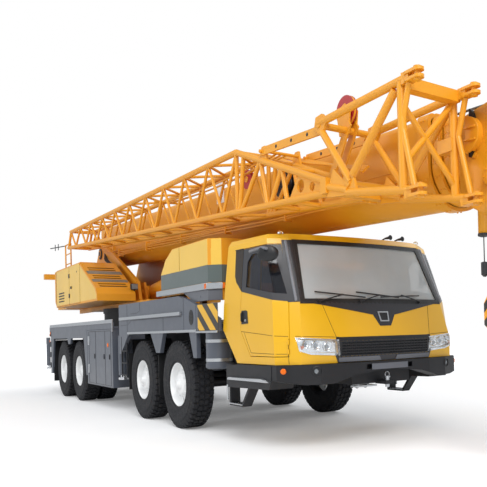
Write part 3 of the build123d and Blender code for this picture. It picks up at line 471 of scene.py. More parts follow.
# ------------------------------------------------------------------ wheels
TYRE_R = 0.615
STEER_X = (1.5, 0.0)
DRIVE_X = (-4.05, -5.43)
WHEEL_Y = 1.155
TWIN_PITCH = 0.345
CARCASS = ((-0.11, 0.287), (-0.126, 0.3), (-0.14, 0.312), (-0.146, 0.33), (-0.152, 0.334), (-0.152, 0.344),
    (-0.15, 0.348), (-0.156, 0.39), (-0.158, 0.44), (-0.157, 0.492), (-0.158, 0.5), (-0.153, 0.506),
    (-0.149, 0.545), (-0.142, 0.572), (-0.128, 0.59), (-0.1, 0.5965), (0.1, 0.5965), (0.128, 0.59),
    (0.142, 0.572), (0.149, 0.545), (0.153, 0.506), (0.158, 0.5), (0.157, 0.492), (0.158, 0.44),
    (0.156, 0.39), (0.15, 0.348), (0.152, 0.344), (0.152, 0.334), (0.146, 0.33), (0.14, 0.312),
    (0.126, 0.3), (0.11, 0.287))
LUG_COUNT = 42


def lug(low_ring, high_ring, low, high):
    """A tread block: a ring of (tangent, axial) points at its foot and one at its crown."""
    work = bmesh.new()
    foot = [work.verts.new((low, y, z)) for y, z in low_ring]
    crown = [work.verts.new((high - bow, y, z)) for y, z, bow in high_ring]
    work.faces.new(foot[::-1])
    work.faces.new(crown)
    for i in range(len(foot)):
        j = (i + 1) % len(foot)
        work.faces.new((foot[i], foot[j], crown[j], crown[i]))
    return work


def shoulder_lug(side):
    foot = [(-0.034, side * 0.076), (-0.036, side * 0.148), (0.036, side * 0.148), (0.034, side * 0.076)]
    crown = [(-0.028, side * 0.08, 0), (-0.031, side * 0.132, 0.004), (0.031, side * 0.132, 0.004),
        (0.028, side * 0.08, 0)]
    return template("shoulder_lug", lug(foot, crown, 0.568 - TYRE_R, 0))


def middle_lug(side):
    foot = [(-0.026, side * 0.003), (-0.041, side * 0.034), (-0.024, side * 0.07), (0.03, side * 0.07),
        (0.041, side * 0.034), (0.032, side * 0.003)]
    crown = [(-0.02, side * 0.008, 0), (-0.034, side * 0.036, 0), (-0.018, side * 0.065, 0),
        (0.024, side * 0.065, 0), (0.034, side * 0.036, 0), (0.026, side * 0.008, 0)]
    return template("middle_lug", lug(foot, crown, 0.59 - TYRE_R, 0))


LUGS = [(shoulder_lug(side), 0.0) for side in (-1, 1)] + [(middle_lug(side), 0.5) for side in (-1, 1)]


def nut_template():
    work = bmesh.new()
    knob(work, (0, 0, 0), (0, 0, 1), ((0, 0.023), (0.01, 0.023), (0.01, 0.0165), (0.03, 0.0155),
        (0.032, 0.01), (0.046, 0.01)), 6, tip=0.047)
    return template("wheel_nut", work)


WHEEL_NUT = nut_template()


def tyre(work, axle_x, middle_y, side):
    """A tyre with sidewall ribs, shoulder blocks and two staggered middle rows."""
    centre = Vector((axle_x, middle_y, TYRE_R))
    turned(work, centre, (0, side, 0), CARCASS, 84)
    for block, start in LUGS:
        turn = (radians(-90 * side), 0, 0)
        ring = set_out(RING, block, RUBBER, centre, turn, LUG_COUNT, TYRE_R)
        bmesh.ops.rotate(ring, cent=centre, matrix=Matrix.Rotation(start * 2 * pi / LUG_COUNT, 3, "Y"),
            verts=ring.verts)
        gather(work, ring)


def rim_from_node(node_name, keep_radius, axle_x):
    """The pressed disc of a CAD wheel, merged, without its tyre."""
    work = bmesh.new()
    work.from_mesh(NODES[node_name].data)
    bmesh.ops.remove_doubles(work, verts=work.verts, dist=2e-5)
    outside = [f for f in work.faces if max(hypot(v.co.x - axle_x, v.co.z - TYRE_R)
        for v in f.verts) > keep_radius]
    bmesh.ops.delete(work, geom=outside, context="FACES")
    return work


def wheels():
    for number, axle_x in enumerate(STEER_X + DRIVE_X, start=1):
        steered = axle_x in STEER_X
        for side_name, side in SIDES:
            body = f"wheel_{number}_{side_name}"
            rubber = bmesh.new()
            tyre(rubber, axle_x, side * WHEEL_Y, side)
            if not steered:
                tyre(rubber, axle_x, side * (WHEEL_Y - TWIN_PITCH), side)
            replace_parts(settle(f"tyre_{number}_{side_name}", rubber, RUBBER, body), body)
            disc = rim_from_node(body, 0.3005, axle_x)
            hub_y = side * (WHEEL_Y + (0.122 if steered else 0.066))
            cap = (((-0.02, 0), (-0.02, 0.082), (0.006, 0.082), (0.01, 0.076), (0.012, 0.052),
                (0.034, 0.046), (0.04, 0.03), (0.041, 0)) if steered
                else ((-0.02, 0), (-0.02, 0.128), (0.02, 0.126), (0.034, 0.112), (0.04, 0.06),
                (0.046, 0.056), (0.048, 0)))
            turned(disc, (axle_x, hub_y, TYRE_R), (0, side, 0), cap, 36)
            # rolled edge of the rim
            turned(disc, (axle_x, side * WHEEL_Y, TYRE_R), (0, side, 0),
                ((0.094, 0.28), (0.118, 0.284), (0.134, 0.291), (0.14, 0.299), (0.136, 0.305),
                (0.126, 0.303), (0.11, 0.292), (0.09, 0.286)), 60)
            seat_y = side * (WHEEL_Y + (0.069 if steered else -0.041))
            nuts = set_out(RING, WHEEL_NUT, WHEEL_WHITE, (axle_x, seat_y, TYRE_R),
                (radians(-90 * side), 0, 0), 10, 0.1675)
            gather(disc, nuts)
            settle(f"wheel_disc_{number}_{side_name}", disc, WHEEL_WHITE, body)


# ------------------------------------------------------------------ carrier cab
# Cab levels: height, half width at the rear and at the front, x where the side ends, corner x and y, middle x
CAB_LEVELS = ((0.96, 1.275, 1.275, 4.28, 4.5, 1.08, 4.61), (1.2, 1.275, 1.275, 4.27, 4.51, 1.075, 4.64),
    (1.64, 1.275, 1.25, 4.21, 4.4, 1.02, 4.49), (2.36, 1.24, 1.165, 3.96, 4.08, 0.96, 4.16),
    (2.42, 1.2, 1.12, 3.9, 4.03, 0.93, 4.12))
CAB_REAR_X = 2.9
GRILLE_Z = 1.106          # middle of the grille
DOOR_EDGE = ((4.395, 1.24), (4.322, 1.626), (4.068, 2.29))       # front edge of the door, (x, z)
DOOR_PANE = ((3.56, 1.815), (4.25, 1.7), (4.02, 2.235), (3.65, 2.235), (3.56, 2.15))
SCREEN_EDGE = ((-0.985, 1.655), (0.985, 1.655), (0.9, 2.325), (-0.9, 2.325))


def cab_level(z):
    """The cab's plan at a height."""
    z = min(max(z, CAB_LEVELS[0][0]), CAB_LEVELS[-1][0])
    for low, high in zip(CAB_LEVELS, CAB_LEVELS[1:]):
        if z <= high[0]:
            t = (z - low[0]) / (high[0] - low[0])
            return [a + (b - a) * t for a, b in zip(low[1:], high[1:])]


def nose(y, z):
    """x of the cab's front skin."""
    _, half, side_x, corner_x, corner_y, middle_x = cab_level(z)
    y = abs(y)
    if y > corner_y:
        return corner_x + (side_x - corner_x) * (y - corner_y) / (half - corner_y)
    bow = middle_x - corner_x
    radius = (corner_y ** 2 + bow ** 2) / (2 * bow)
    return middle_x - radius + sqrt(radius ** 2 - y ** 2)


def flank(x, z):
    """Distance of the cab's side skin from the middle plane."""
    rear, half, side_x, corner_x, corner_y, _ = cab_level(z)
    if x <= side_x:
        return rear + (half - rear) * (x - CAB_REAR_X) / (side_x - CAB_REAR_X)
    return half + (corner_y - half) * (x - side_x) / (corner_x - side_x)


def on_nose(lift):
    return lambda y, z: Vector((nose(y, z) + lift, y, z))


def on_flank(side, lift):
    return lambda x, z: Vector((x, side * (flank(x, z) + lift), z))


def divided(points, step):
    """Points along a polyline, no further apart than step."""
    line = []
    for a, b in zip(points, points[1:]):
        count = max(1, ceil(dist(a, b) / step))
        line += [tuple(p + (q - p) * i / count for p, q in zip(a, b)) for i in range(count)]
    return line + [tuple(points[-1])]


def seam(work, place, points, width=0.007):
    """A panel gap that follows a skin, as a dark bead sunk into it."""
    tube(work, [place(*p) for p in divided(points, 0.04)], width / 2, 6)


def thicken(work, push):
    """Closes an open sheet into a panel with a second skin pushed inwards."""
    top = list(work.faces)
    rim = [e for e in work.edges if len(e.link_faces) == 1]
    twin = {v: work.verts.new(v.co + push(v.co)) for v in list(work.verts)}
    for face in top:
        work.faces.new([twin[v] for v in reversed(face.verts)])
    for edge in rim:
        a, b = edge.verts
        work.faces.new((a, b, twin[b], twin[a]))


def ring_edges(ring):
    """The edges of a closed outline, as pairs of corners."""
    return list(zip(ring, [*ring[1:], ring[0]]))


def even_ring(ring, counts):
    """A closed outline with each edge divided into its count of steps."""
    return [tuple(p + (q - p) * i / count for p, q in zip(a, b)) for (a, b),
        count in zip(ring_edges(ring), counts) for i in range(count)]


def skin_panel(work, outline, place, inward, thick, step=0.06, hole=None):
    """A thin panel on a curved skin from its flat outline, with an optional hole of as many corners."""
    flat = bmesh.new()
    if hole:
        counts = [max(1, ceil(dist(a, b) / step)) for a, b in ring_edges(outline)]
        rings = [even_ring(ring, counts) for ring in (outline, hole)]
        outer, inner = ([flat.verts.new((*p, 0)) for p in ring] for ring in rings)
        for i in range(len(outer)):
            j = (i + 1) % len(outer)
            flat.faces.new((outer[i], outer[j], inner[j], inner[i]))
    else:
        flat.faces.new([flat.verts.new((*p, 0)) for p in outline])
    lows = [min(p[k] for p in outline) for k in (0, 1)]
    highs = [max(p[k] for p in outline) for k in (0, 1)]
    for k in (0, 1):
        cut = lows[k] + step
        while cut < highs[k]:
            normal = (1, 0, 0) if k == 0 else (0, 1, 0)
            bmesh.ops.bisect_plane(flat, geom=flat.verts[:] + flat.edges[:] + flat.faces[:],
                plane_co=(cut, cut, 0), plane_no=normal)
            cut += step
    for low, high in zip(CAB_LEVELS, CAB_LEVELS[1:]) if inward[1] else ():
        # the crease where the side turns to the corner
        a, b = Vector((low[3], low[0], 0)), Vector((high[3], high[0], 0))
        if lows[1] < high[0] and highs[1] > low[0]:
            bmesh.ops.bisect_plane(flat, geom=flat.verts[:] + flat.edges[:] + flat.faces[:], plane_co=a,
                plane_no=(b - a).cross(Vector((0, 0, 1))))
    for level in CAB_LEVELS[1:-1]:
        if lows[1] < level[0] < highs[1]:
            bmesh.ops.bisect_plane(flat, geom=flat.verts[:] + flat.edges[:] + flat.faces[:],
                plane_co=(0, level[0], 0), plane_no=(0, 1, 0))
    for vert in flat.verts:
        vert.co = place(vert.co.x, vert.co.y)
    thicken(flat, lambda co: Vector(inward) * thick)
    gather(work, flat)


def nose_panel(work, outline, lift, *cut, **hole):
    """A panel on the cab's front skin."""
    skin_panel(work, outline, on_nose(lift), (-1, 0, 0), *cut, **hole)


def flank_panel(work, outline, side, lift, *cut, **hole):
    """A panel on the cab's side skin."""
    skin_panel(work, outline, on_flank(side, lift), (0, -side, 0), *cut, **hole)


def cab_glazing():
    """Screen with its black border, rear pane, and each side's door pane, quarter pane and pillar."""
    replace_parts(settle("windscreen", made(nose_panel, SCREEN_EDGE, -0.012, 0.006), SCREEN_GLASS, "chassis"),
        "cab_glass")
    settle_all("chassis", ("windscreen_border", made(nose_panel,
        ((-1.02, 1.612), (1.02, 1.612), (0.925, 2.35), (-0.925, 2.35)), 0.003, 0.02,
        hole=((-0.955, 1.668), (0.955, 1.668), (0.872, 2.3), (-0.872, 2.3))), GASKET),
        ("rear_pane", made(side_plate, ((3.064, 1.75), (3.07, 1.75), (3.12, 2.25), (3.114, 2.25)), -0.8,
        0.8), SIDE_GLASS))
    for side_name, side in SIDES:
        settle_all(f"door_{side_name}", (f"door_pane_{side_name}",
            made(flank_panel, DOOR_PANE, side, -0.014, 0.005), DOOR_GLASS),
            (f"door_frame_black_{side_name}", made(flank_panel, ((3.483, 1.792), (4.3225, 1.64),
            (4.067, 2.288), (3.58, 2.288), (3.483, 2.288)), side, 0.003, 0.014, 0.03,
            hole=((3.585, 1.838), (4.215, 1.733), (4.002, 2.212), (3.672, 2.212), (3.585, 2.13))),
            PILLAR_BLACK, 0, False), (f"bonded_glass_edge_{side_name}",
            made(flank_panel, ((4.2, 1.738), (4.288, 1.724), (4.046, 2.218), (3.99, 2.214)), side, 0.0045,
            0.012), DARK_GLASS, 0, False))
        settle_all("chassis", (f"quarter_pane_{side_name}", made(flank_panel,
            ((3.3, 1.985), (3.335, 1.915), (3.476, 1.797), (3.476, 2.29), (3.292, 2.29)), side, 0.003,
            0.012, 0.03), DARK_GLASS), (f"quarter_gasket_{side_name}",
            made(tube, [on_flank(side, 0.004)(x, z) for x, z in divided(((3.288, 2.294), (3.472, 2.294)),
            0.05)], 0.006, 6), GASKET))
        pillar = bmesh.new()
        rows = []
        for step in range(15):
            z = 1.632 + (2.342 - 1.632) * step / 14
            _, half, side_x, corner_x, corner_y, _ = cab_level(z)
            (x0, z0), (x1, z1) = DOOR_EDGE[1:]
            door_x = x0 + (x1 - x0) * (z - z0) / (z1 - z0) + 0.001
            row = [on_flank(side, 0.003)(door_x + (corner_x - door_x) * t, z) for t in (0, 0.35, 0.7, 1)]
            edge_y = corner_y - (corner_y - (0.985 - 0.085 * (z - 1.655) / 0.67)) * 0.8
            row += [Vector((nose(y, z) + 0.003, side * y, z)) for y in (corner_y - 0.01, edge_y)]
            rows.append(row)
        verts = [[pillar.verts.new(p) for p in row] for row in rows]
        for one, two in zip(verts, verts[1:]):
            for i in range(len(one) - 1):
                pillar.faces.new((one[i], one[i + 1], two[i + 1], two[i]))
        thicken(pillar, lambda co, side=side: Vector((-0.006, -side * 0.01, 0)))
        settle(f"pillar_cover_{side_name}", pillar, PILLAR_BLACK, "chassis", smooth=False)
        strip = bmesh.new()
        line = []
        for step in range(12):
            z = 1.64 + 0.69 * step / 11
            corner_x, corner_y = cab_level(z)[3:5]
            line.append(Vector((corner_x - 0.02, side * (corner_y + 0.03), z)))
        tube(strip, line, 0.017, 8)
        settle(f"pillar_strip_{side_name}", strip, PILLAR_GREY, "chassis")


def cab_front():
    """Dark panel under the screen with a blank badge, panel gaps, chin panel and strip, grille surround."""
    settle("front_shield", made(nose_panel, ((-1.018, 1.634), (-0.785, 1.599), (-0.147, 1.483),
        (-0.08, 1.355), (0.078, 1.355), (0.169, 1.481), (0.813, 1.6), (1.018, 1.634)), 0.003, 0.006),
        PILLAR_BLACK, "chassis")
    rim = bmesh.new()
    badge = ((-0.062, 1.405), (0.062, 1.405), (0.076, 1.52), (-0.076, 1.52))
    nose_panel(rim, badge, 0.01, 0.01, 0.05, hole=((-0.048, 1.418), (0.048, 1.418), (0.06, 1.507),
        (-0.06, 1.507)))
    settle_all("chassis", ("blank_badge_rim", rim, SILVER), ("blank_badge_field",
        made(nose_panel, ((-0.052, 1.413), (0.052, 1.413), (0.065, 1.512), (-0.065, 1.512)), 0.006, 0.004),
        BLACK_PLASTIC))
    gaps = bmesh.new()
    for side in (-1, 1):
        seam(gaps, on_nose(-0.001), ((side * 0.766, 1.595), (side * 0.676, 1.242)))
        seam(gaps, on_nose(-0.001), ((side * 0.64, 1.24), (side * 1.11, 1.262)))
        flat = on_flank(side, -0.001)
        seam(gaps, flat, ((4.395, 1.236), (4.395, 1.045), (4.4, 0.968)))
        seam(gaps, flat, ((3.485, 1.785), (3.472, 1.8), (3.472, 2.288)))
    settle("cab_panel_gaps", gaps, BODY_SEAM, "chassis")
    for side_name, side in SIDES:
        door_gaps = bmesh.new()
        seam(door_gaps, on_flank(side, -0.001), ((3.49, 1.33), (4.385, 1.262)))
        seam(door_gaps, on_flank(side, -0.001), ((3.56, 1.318), (3.735, 1.085), (4.385, 1.075)))
        settle(f"door_panel_gaps_{side_name}", door_gaps, BODY_SEAM, f"door_{side_name}")
    settle("chin_panel", made(nose_panel, ((-0.66, 0.962), (0.66, 0.962), (0.7, 1.066), (0.645, 1.066),
        (0.645, 1.028), (-0.645, 1.028), (-0.645, 1.066), (-0.7, 1.066)), 0.004, 0.008), PILLAR_BLACK,
        "chassis")
    trim = bmesh.new()
    for side in (-1, 1):
        ends = [(side * 0.1, 0.966), (side * 0.655, 0.966), (side * 0.655, 1.018), (side * 0.13, 1.018)]
        nose_panel(trim, ends if side > 0 else ends[::-1], 0.014, 0.012)
    settle("chin_strip", trim, CHIN_GREY, "chassis", 0.003)
    lintel = bmesh.new()
    nose_panel(lintel, ((-0.69, 1.196), (0.69, 1.196), (0.68, 1.24), (-0.68, 1.24)), 0.003, 0.006)
    for side in (-1, 1):
        cheek = [(side * 0.64, 1.066), (side * 0.658, 1.066), (side * 0.678, 1.2), (side * 0.64, 1.2)]
        nose_panel(lintel, cheek if side > 0 else cheek[::-1], 0.0035, 0.006)
    stations = [-0.64 + 0.08 * k for k in range(17)]
    prism(lintel, [on_nose(0.003)(y, 1.03) for y in stations] + [on_nose(-0.058)(y, 1.03)
        for y in reversed(stations)], (0, 0, 0.003))
    settle("grille_lintel", lintel, BLACK_PLASTIC, "chassis")


def grille_comb():
    """Honeycomb in the slots between the grille bars."""
    cell = bmesh.new()
    outer, inner = ([Vector((0, r * cos(t), r * sin(t))) for t in (pi * k / 3 for k in range(6))]
        for r in (0.015, 0.0118))
    rings = [[cell.verts.new(p + Vector((x, 0, 0))) for p in ring] for x,
        ring in ((0, outer), (0, inner), (-0.012, inner), (-0.012, outer))]
    for one, two in zip(rings, rings[1:] + rings[:1]):
        for i in range(6):
            j = (i + 1) % 6
            cell.faces.new((one[i], one[j], two[j], two[i]))
    cell = template("comb_cell", cell)
    comb = set_out(COMB, cell, BLACK_PLASTIC, (0, 0, 0), (radians(90), 0, radians(90)), 48, 1.22, 6, 0.15)
    for vert in comb.verts:
        y, z = vert.co.y, vert.co.z + GRILLE_Z
        vert.co = Vector((nose(y, z) - 0.01 + vert.co.x, y, z))
    settle("grille_comb", comb, COMB_GREY, "chassis", smooth=False)


def headlamps():
    """Clear covers over a silver bowl with a projector, a main reflector, a turn lamp and small lamps."""
    lens_edge = ((0.676, 1.208), (1.098, 1.238), (1.08, 1.112), (0.972, 1.08), (0.656, 1.068))
    wide_edge = ((0.658, 1.216), (1.118, 1.25), (1.094, 1.1), (0.975, 1.062), (0.636, 1.04))
    covers, bowls, eyes, ambers = blanks(4)
    for side in (-1, 1):
        edge = [(side * y, z) for y, z in (lens_edge if side > 0 else lens_edge[::-1])]
        wide = [(side * y, z) for y, z in (wide_edge if side > 0 else wide_edge[::-1])]
        nose_panel(bowls, wide, 0.003, 0.004, 0.05, hole=edge)
        nose_panel(covers, wide, 0.008, 0.004, 0.05)
        nose_panel(bowls, edge, -0.036, 0.006, 0.05)
        for y, z, radius in ((0.9, 1.158, 0.05), (0.775, 1.14, 0.046), (1.015, 1.172, 0.04)):
            centre = (nose(y, z) - 0.034, side * y, z)
            turned(bowls, centre, (1, 0, 0), ((0.0, radius * 0.35), (0.002, radius * 0.55),
                (0.012, radius * 0.85), (0.028, radius), (0.03, radius * 1.08), (-0.002, radius * 1.06)),
                28)
            knob(eyes, centre, (1, 0, 0), ((0.0, radius * 0.45), (0.01, radius * 0.42),
                (0.018, radius * 0.28)), 24, tip=0.021)
        for k in range(4):
            y = 0.695 + 0.026 * k
            knob(bowls, (nose(y, 1.185) - 0.036, side * y, 1.183 + 0.003 * k), (1, 0, 0),
                ((0, 0.012), (0.016, 0.009)), 12, tip=0.018)
        knob(ambers, (nose(1.065, 1.135) - 0.03, side * 1.062, 1.14), (1, 0, 0),
            ((0, 0.022), (0.02, 0.018)), 16, tip=0.024)
    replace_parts(settle("headlamp_covers", covers, LAMP_GLASS, "chassis"), "headlamps")
    settle_all("chassis", ("headlamp_bowls", bowls, REFLECTOR), ("headlamp_eyes", eyes, LENS_GREY),
        ("turn_lamps", ambers, AMBER))


def cab_fittings():
    """Door handles, wipers, mirrors, roof lamps and horns."""
    for side_name, side in SIDES:
        body = f"door_{side_name}"
        handle = bmesh.new()
        flank_panel(handle, ((3.497, 1.412), (3.665, 1.418), (3.64, 1.56), (3.6, 1.572), (3.497, 1.57)),
            side, 0.004, 0.01, 0.05)
        grip_y = side * (flank(3.56, 1.5) + 0.018)
        tube(handle, ((3.515, side * flank(3.5, 1.5), 1.44), (3.522, grip_y, 1.452), (3.522, grip_y, 1.535),
            (3.515, side * flank(3.5, 1.5), 1.552)), 0.01, 8, 0.01)
        settle_all(body, (f"door_handle_{side_name}", handle, BLACK_PLASTIC, 0.002),
            (f"door_lock_{side_name}", made(knob, (3.6, side * (flank(3.6, 1.45) + 0.004), 1.455),
            (0, side, 0), ((0, 0.015), (0.006, 0.014)), 18, tip=0.007), SILVER))
    # wipers swept along the foot of the screen
    wipers = bmesh.new()
    for foot_y, tip_y in ((-0.8, -0.28), (-0.28, 0.22), (0.62, 0.1)):
        root = Vector((nose(foot_y, 1.64) + 0.012, foot_y, 1.634))
        elbow = Vector((nose(tip_y, 1.7) + 0.03, tip_y + (foot_y - tip_y) * 0.45, 1.712))
        knob(wipers, root + Vector((-0.012, 0, 0)), (0.9, 0, 0.44), ((0, 0.022), (0.028, 0.018)), 16,
            tip=0.03)
        tube(wipers, (root + Vector((0.012, 0, 0.006)), elbow), 0.0075, 8)
        blade = [Vector((nose(y, z) + 0.014, y, z)) for y, z in ((tip_y + (foot_y - tip_y) * t,
            1.722 + 0.05 * t * (1 if foot_y < 0 else 0.4) - 0.03)
            for t in (-0.15, 0, 0.15, 0.3, 0.45, 0.6, 0.75, 0.9, 1.05))]
        tube(wipers, blade, 0.0085, 6)
        tube(wipers, (elbow, blade[4]), 0.01, 6)
    settle("wipers", wipers, BLACK_PLASTIC, "chassis")
    # kerb mirror ahead of the right door and upright mirror on the left door
    arm = bmesh.new()
    tube(arm, ((3.78, -1.205, 2.245), (3.79, -1.3, 2.222), (4.19, -1.345, 2.222), (4.27, -1.335, 2.205)),
        0.017, 10, 0.06)
    tube(arm, ((4.03, -1.17, 2.262), (4.06, -1.29, 2.232)), 0.012, 8)
    settle("mirror_arm_right", arm, PILLAR_GREY, "door_right")
    shell, glass = blanks(2)
    middle, look = Vector((4.225, -1.297, 2.158)), Vector((0.8, -0.6, 0.0))
    knob(shell, middle, look, ((-0.03, 0.08), (-0.026, 0.096), (0.0, 0.1), (0.018, 0.088), (0.028, 0.058)),
        40, tip=0.032)
    knob(glass, middle, -look, ((0.028, 0.086), (0.033, 0.084)), 40, tip=0.035)
    across = look.cross(Vector((0, 0, 1)))
    for work in (shell, glass):
        for vert in work.verts:
            local = vert.co - middle
            vert.co += across * local.dot(across) * 0.17 + Vector((0, 0, local.z * -0.12))
    settle_all("door_right", ("mirror_shell_right", shell, BLACK_PLASTIC),
        ("mirror_glass_right", glass, MIRROR))
    settle_all("door_left", ("mirror_shell_left", made(brick, 3.7, 3.76, 1.285, 1.405, 1.9, 2.125),
        PILLAR_BLACK, 0.02), ("mirror_glass_left", made(brick, 3.697, 3.701, 1.3, 1.39, 1.92, 2.105),
        MIRROR, 0.001))
    left_arm = bmesh.new()
    tube(left_arm, ((3.8, 1.205, 2.2), (3.745, 1.33, 2.185), (3.735, 1.345, 2.1)), 0.011, 8, 0.03)
    tube(left_arm, ((3.8, 1.225, 1.88), (3.745, 1.33, 1.865), (3.735, 1.345, 1.93)), 0.011, 8, 0.03)
    settle("mirror_arms_left", left_arm, PILLAR_GREY, "door_left")
    # marker lamps and horns on the roof's front edge
    lamps = bmesh.new()
    for side in (-1, 1):
        knob(lamps, (3.985, side * 1.005, 2.418), (0, 0, 1), ((0, 0.032), (0.022, 0.03), (0.034, 0.018)),
            20, tip=0.037)
    settle("roof_marker_lamps", lamps, LAMP_GLASS, "chassis")
    horns = bmesh.new()
    for y, x in ((0.5, 3.93), (0.72, 3.9)):
        tube(horns, ((x, y, 2.415), (x, y, 2.452), (x + 0.06, y, 2.462)), 0.01, 8, 0.01)
        knob(horns, (x + 0.05, y, 2.462), (1, 0, 0), ((0, 0.011), (0.09, 0.02), (0.11, 0.032)), 18,
            tip=0.105)
    settle("roof_horns", horns, BLACK_PLASTIC, "chassis")


def seat(name, body, low_x, middle_y, cushion_z, wide):
    """A sprung seat: cushion, backrest and headrest with sewn channels, on a black base."""
    settle(f"{name}_base", made(brick, low_x + 0.06, low_x + 0.44, middle_y - wide * 0.42,
        middle_y + wide * 0.42, cushion_z - 0.34, cushion_z - 0.1), BLACK_PLASTIC, body, 0.02)
    pads = bmesh.new()
    for x0, x1, z0, z1, lean, width in ((0.02, 0.49, -0.1, 0.03, 0, wide),
            (0.0, 0.13, 0.04, 0.52, -0.13, wide), (0.02, 0.11, 0.55, 0.7, -0.19, wide * 0.56)):
        block = bmesh.new()
        brick(block, low_x + x0, low_x + x1, middle_y - width / 2, middle_y + width / 2, cushion_z + z0,
            cushion_z + z1)
        bmesh.ops.subdivide_edges(block, edges=block.edges[:], cuts=7, use_grid_fill=True)
        mid = Vector((low_x + (x0 + x1) / 2, middle_y, cushion_z + (z0 + z1) / 2))
        half = Vector(((x1 - x0) / 2, width / 2, (z1 - z0) / 2))
        for vert in block.verts:
            local = vert.co - mid
            share = [abs(local[k]) / half[k] for k in range(3)]
            round_off = sum(max(0, s - 0.72) ** 2 for s in share) * 0.9
            local *= 1 - min(0.3, round_off)
            # channels sewn across the pad
            stitch = 0.006 * cos(3 * pi * local.y / half.y)
            thin = min(range(3), key=lambda k: half[k])
            local[thin] *= 1 + stitch / half[thin]
            vert.co = mid + local
            if lean:
                vert.co.x += lean * (vert.co.z - cushion_z - z0 * 0.5) / 0.6
        gather(pads, block)
    piece = settle(f"{name}_pads", pads, SEAT_CLOTH, body)


def cab_inside():
    """Floor, dash, linings, door cards, steering wheel on its column and two seats."""
    dash = bmesh.new()
    side_plate(dash, ((4.1, 1.06), (4.28, 1.06), (4.36, 1.6), (4.3, 1.66), (4.08, 1.655), (4.03, 1.6),
        (4.05, 1.42), (4.12, 1.36)), -0.985, 0.985)
    brick(dash, 3.6, 4.28, -1.15, 1.15, 1.02, 1.06)
    side_plate(dash, ((4.0, 1.62), (4.22, 1.7), (4.28, 1.655), (4.02, 1.56)), 0.38, 0.84)
    for y in (-0.6, -0.2, 0.2):
        knob(dash, (4.045, y, 1.545), (-1, 0, 0.3), ((0, 0.045), (0.014, 0.043), (0.016, 0.034),
            (0.004, 0.03)), 20)
    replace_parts(settle("dash_and_floor", dash, DARK_TRIM, "chassis", 0.012), "cab_interior")
    lining = bmesh.new()
    side_plate(lining, ((3.065, 1.36), (3.071, 1.36), (3.107, 1.72), (3.101, 1.72)), -1.13, 1.13)
    side_plate(lining, ((3.155, 2.27), (3.161, 2.27), (3.166, 2.345), (3.16, 2.345)), -1.1, 1.1)
    for side in (-1, 1):
        side_plate(lining, ((3.103, 1.72), (3.109, 1.72), (3.164, 2.28), (3.158, 2.28)),
            *across(side, 0.83, 1.13))
    brick(lining, 3.2, 3.86, -1.05, 1.05, 2.348, 2.354)
    brick(lining, 3.86, 3.97, -0.85, 0.85, 2.34, 2.346)
    for side in (-1, 1):
        flank_panel(lining, ((3.14, 1.2), (3.46, 1.2), (3.46, 2.33), (3.18, 2.33)), side, -0.062, 0.006)
    settle("cab_lining", lining, LINING_GREY, "chassis", smooth=False)
    for side_name, side in SIDES:
        settle(f"door_card_{side_name}", made(flank_panel, ((3.51, 1.36), (3.74, 1.09), (4.18, 1.09),
            (4.2, 1.6), (3.51, 1.77)), side, -0.062, 0.006), LINING_GREY, f"door_{side_name}", smooth=False)
    wheel = bmesh.new()
    centre, lean = Vector((3.95, 0.6, 1.752)), Vector((-0.68, 0, 0.733))
    u, v = frame_of(lean)
    path = [centre + (u * cos(t) + v * sin(t)) * 0.205 for t in (2 * pi * k / 40 for k in range(41))]
    tube(wheel, path, 0.014, 10)
    for angle in (0.2, pi - 0.2, 1.5 * pi):
        tube(wheel, (centre - lean * 0.03, centre + (u * cos(angle) + v * sin(angle)) * 0.2), 0.011, 8)
    knob(wheel, centre - lean * 0.05, lean, ((0, 0.052), (0.035, 0.05), (0.042, 0.04)), 24, tip=0.044)
    round_bar(wheel, (4.14, 0.6, 1.545), centre - lean * 0.03, 0.03, 16)
    settle("steering_wheel", wheel, WHEEL_GREY, "chassis")
    for name, middle_y in (("driver_seat", 0.6), ("mate_seat", -0.6)):
        seat(name, "chassis", 3.545, middle_y, 1.4, 0.47)


# ------------------------------------------------------------------ carrier
RAIL_Y = 1.345
JOINT_Y = 1.3295          # joints of the side panels


def stud(radius, tall, sides=10):
    work = bmesh.new()
    knob(work, (0, 0, 0), (0, 0, 1), ((-0.002, radius), (tall * 0.6, radius), (tall, radius * 0.6)), sides)
    return work


RIVET = template("rivet", stud(0.009, 0.006, 8))
BOLT = template("bolt", stud(0.017, 0.014, 6))
GRIP_STUD = template("grip_stud", stud(0.008, 0.006, 8))


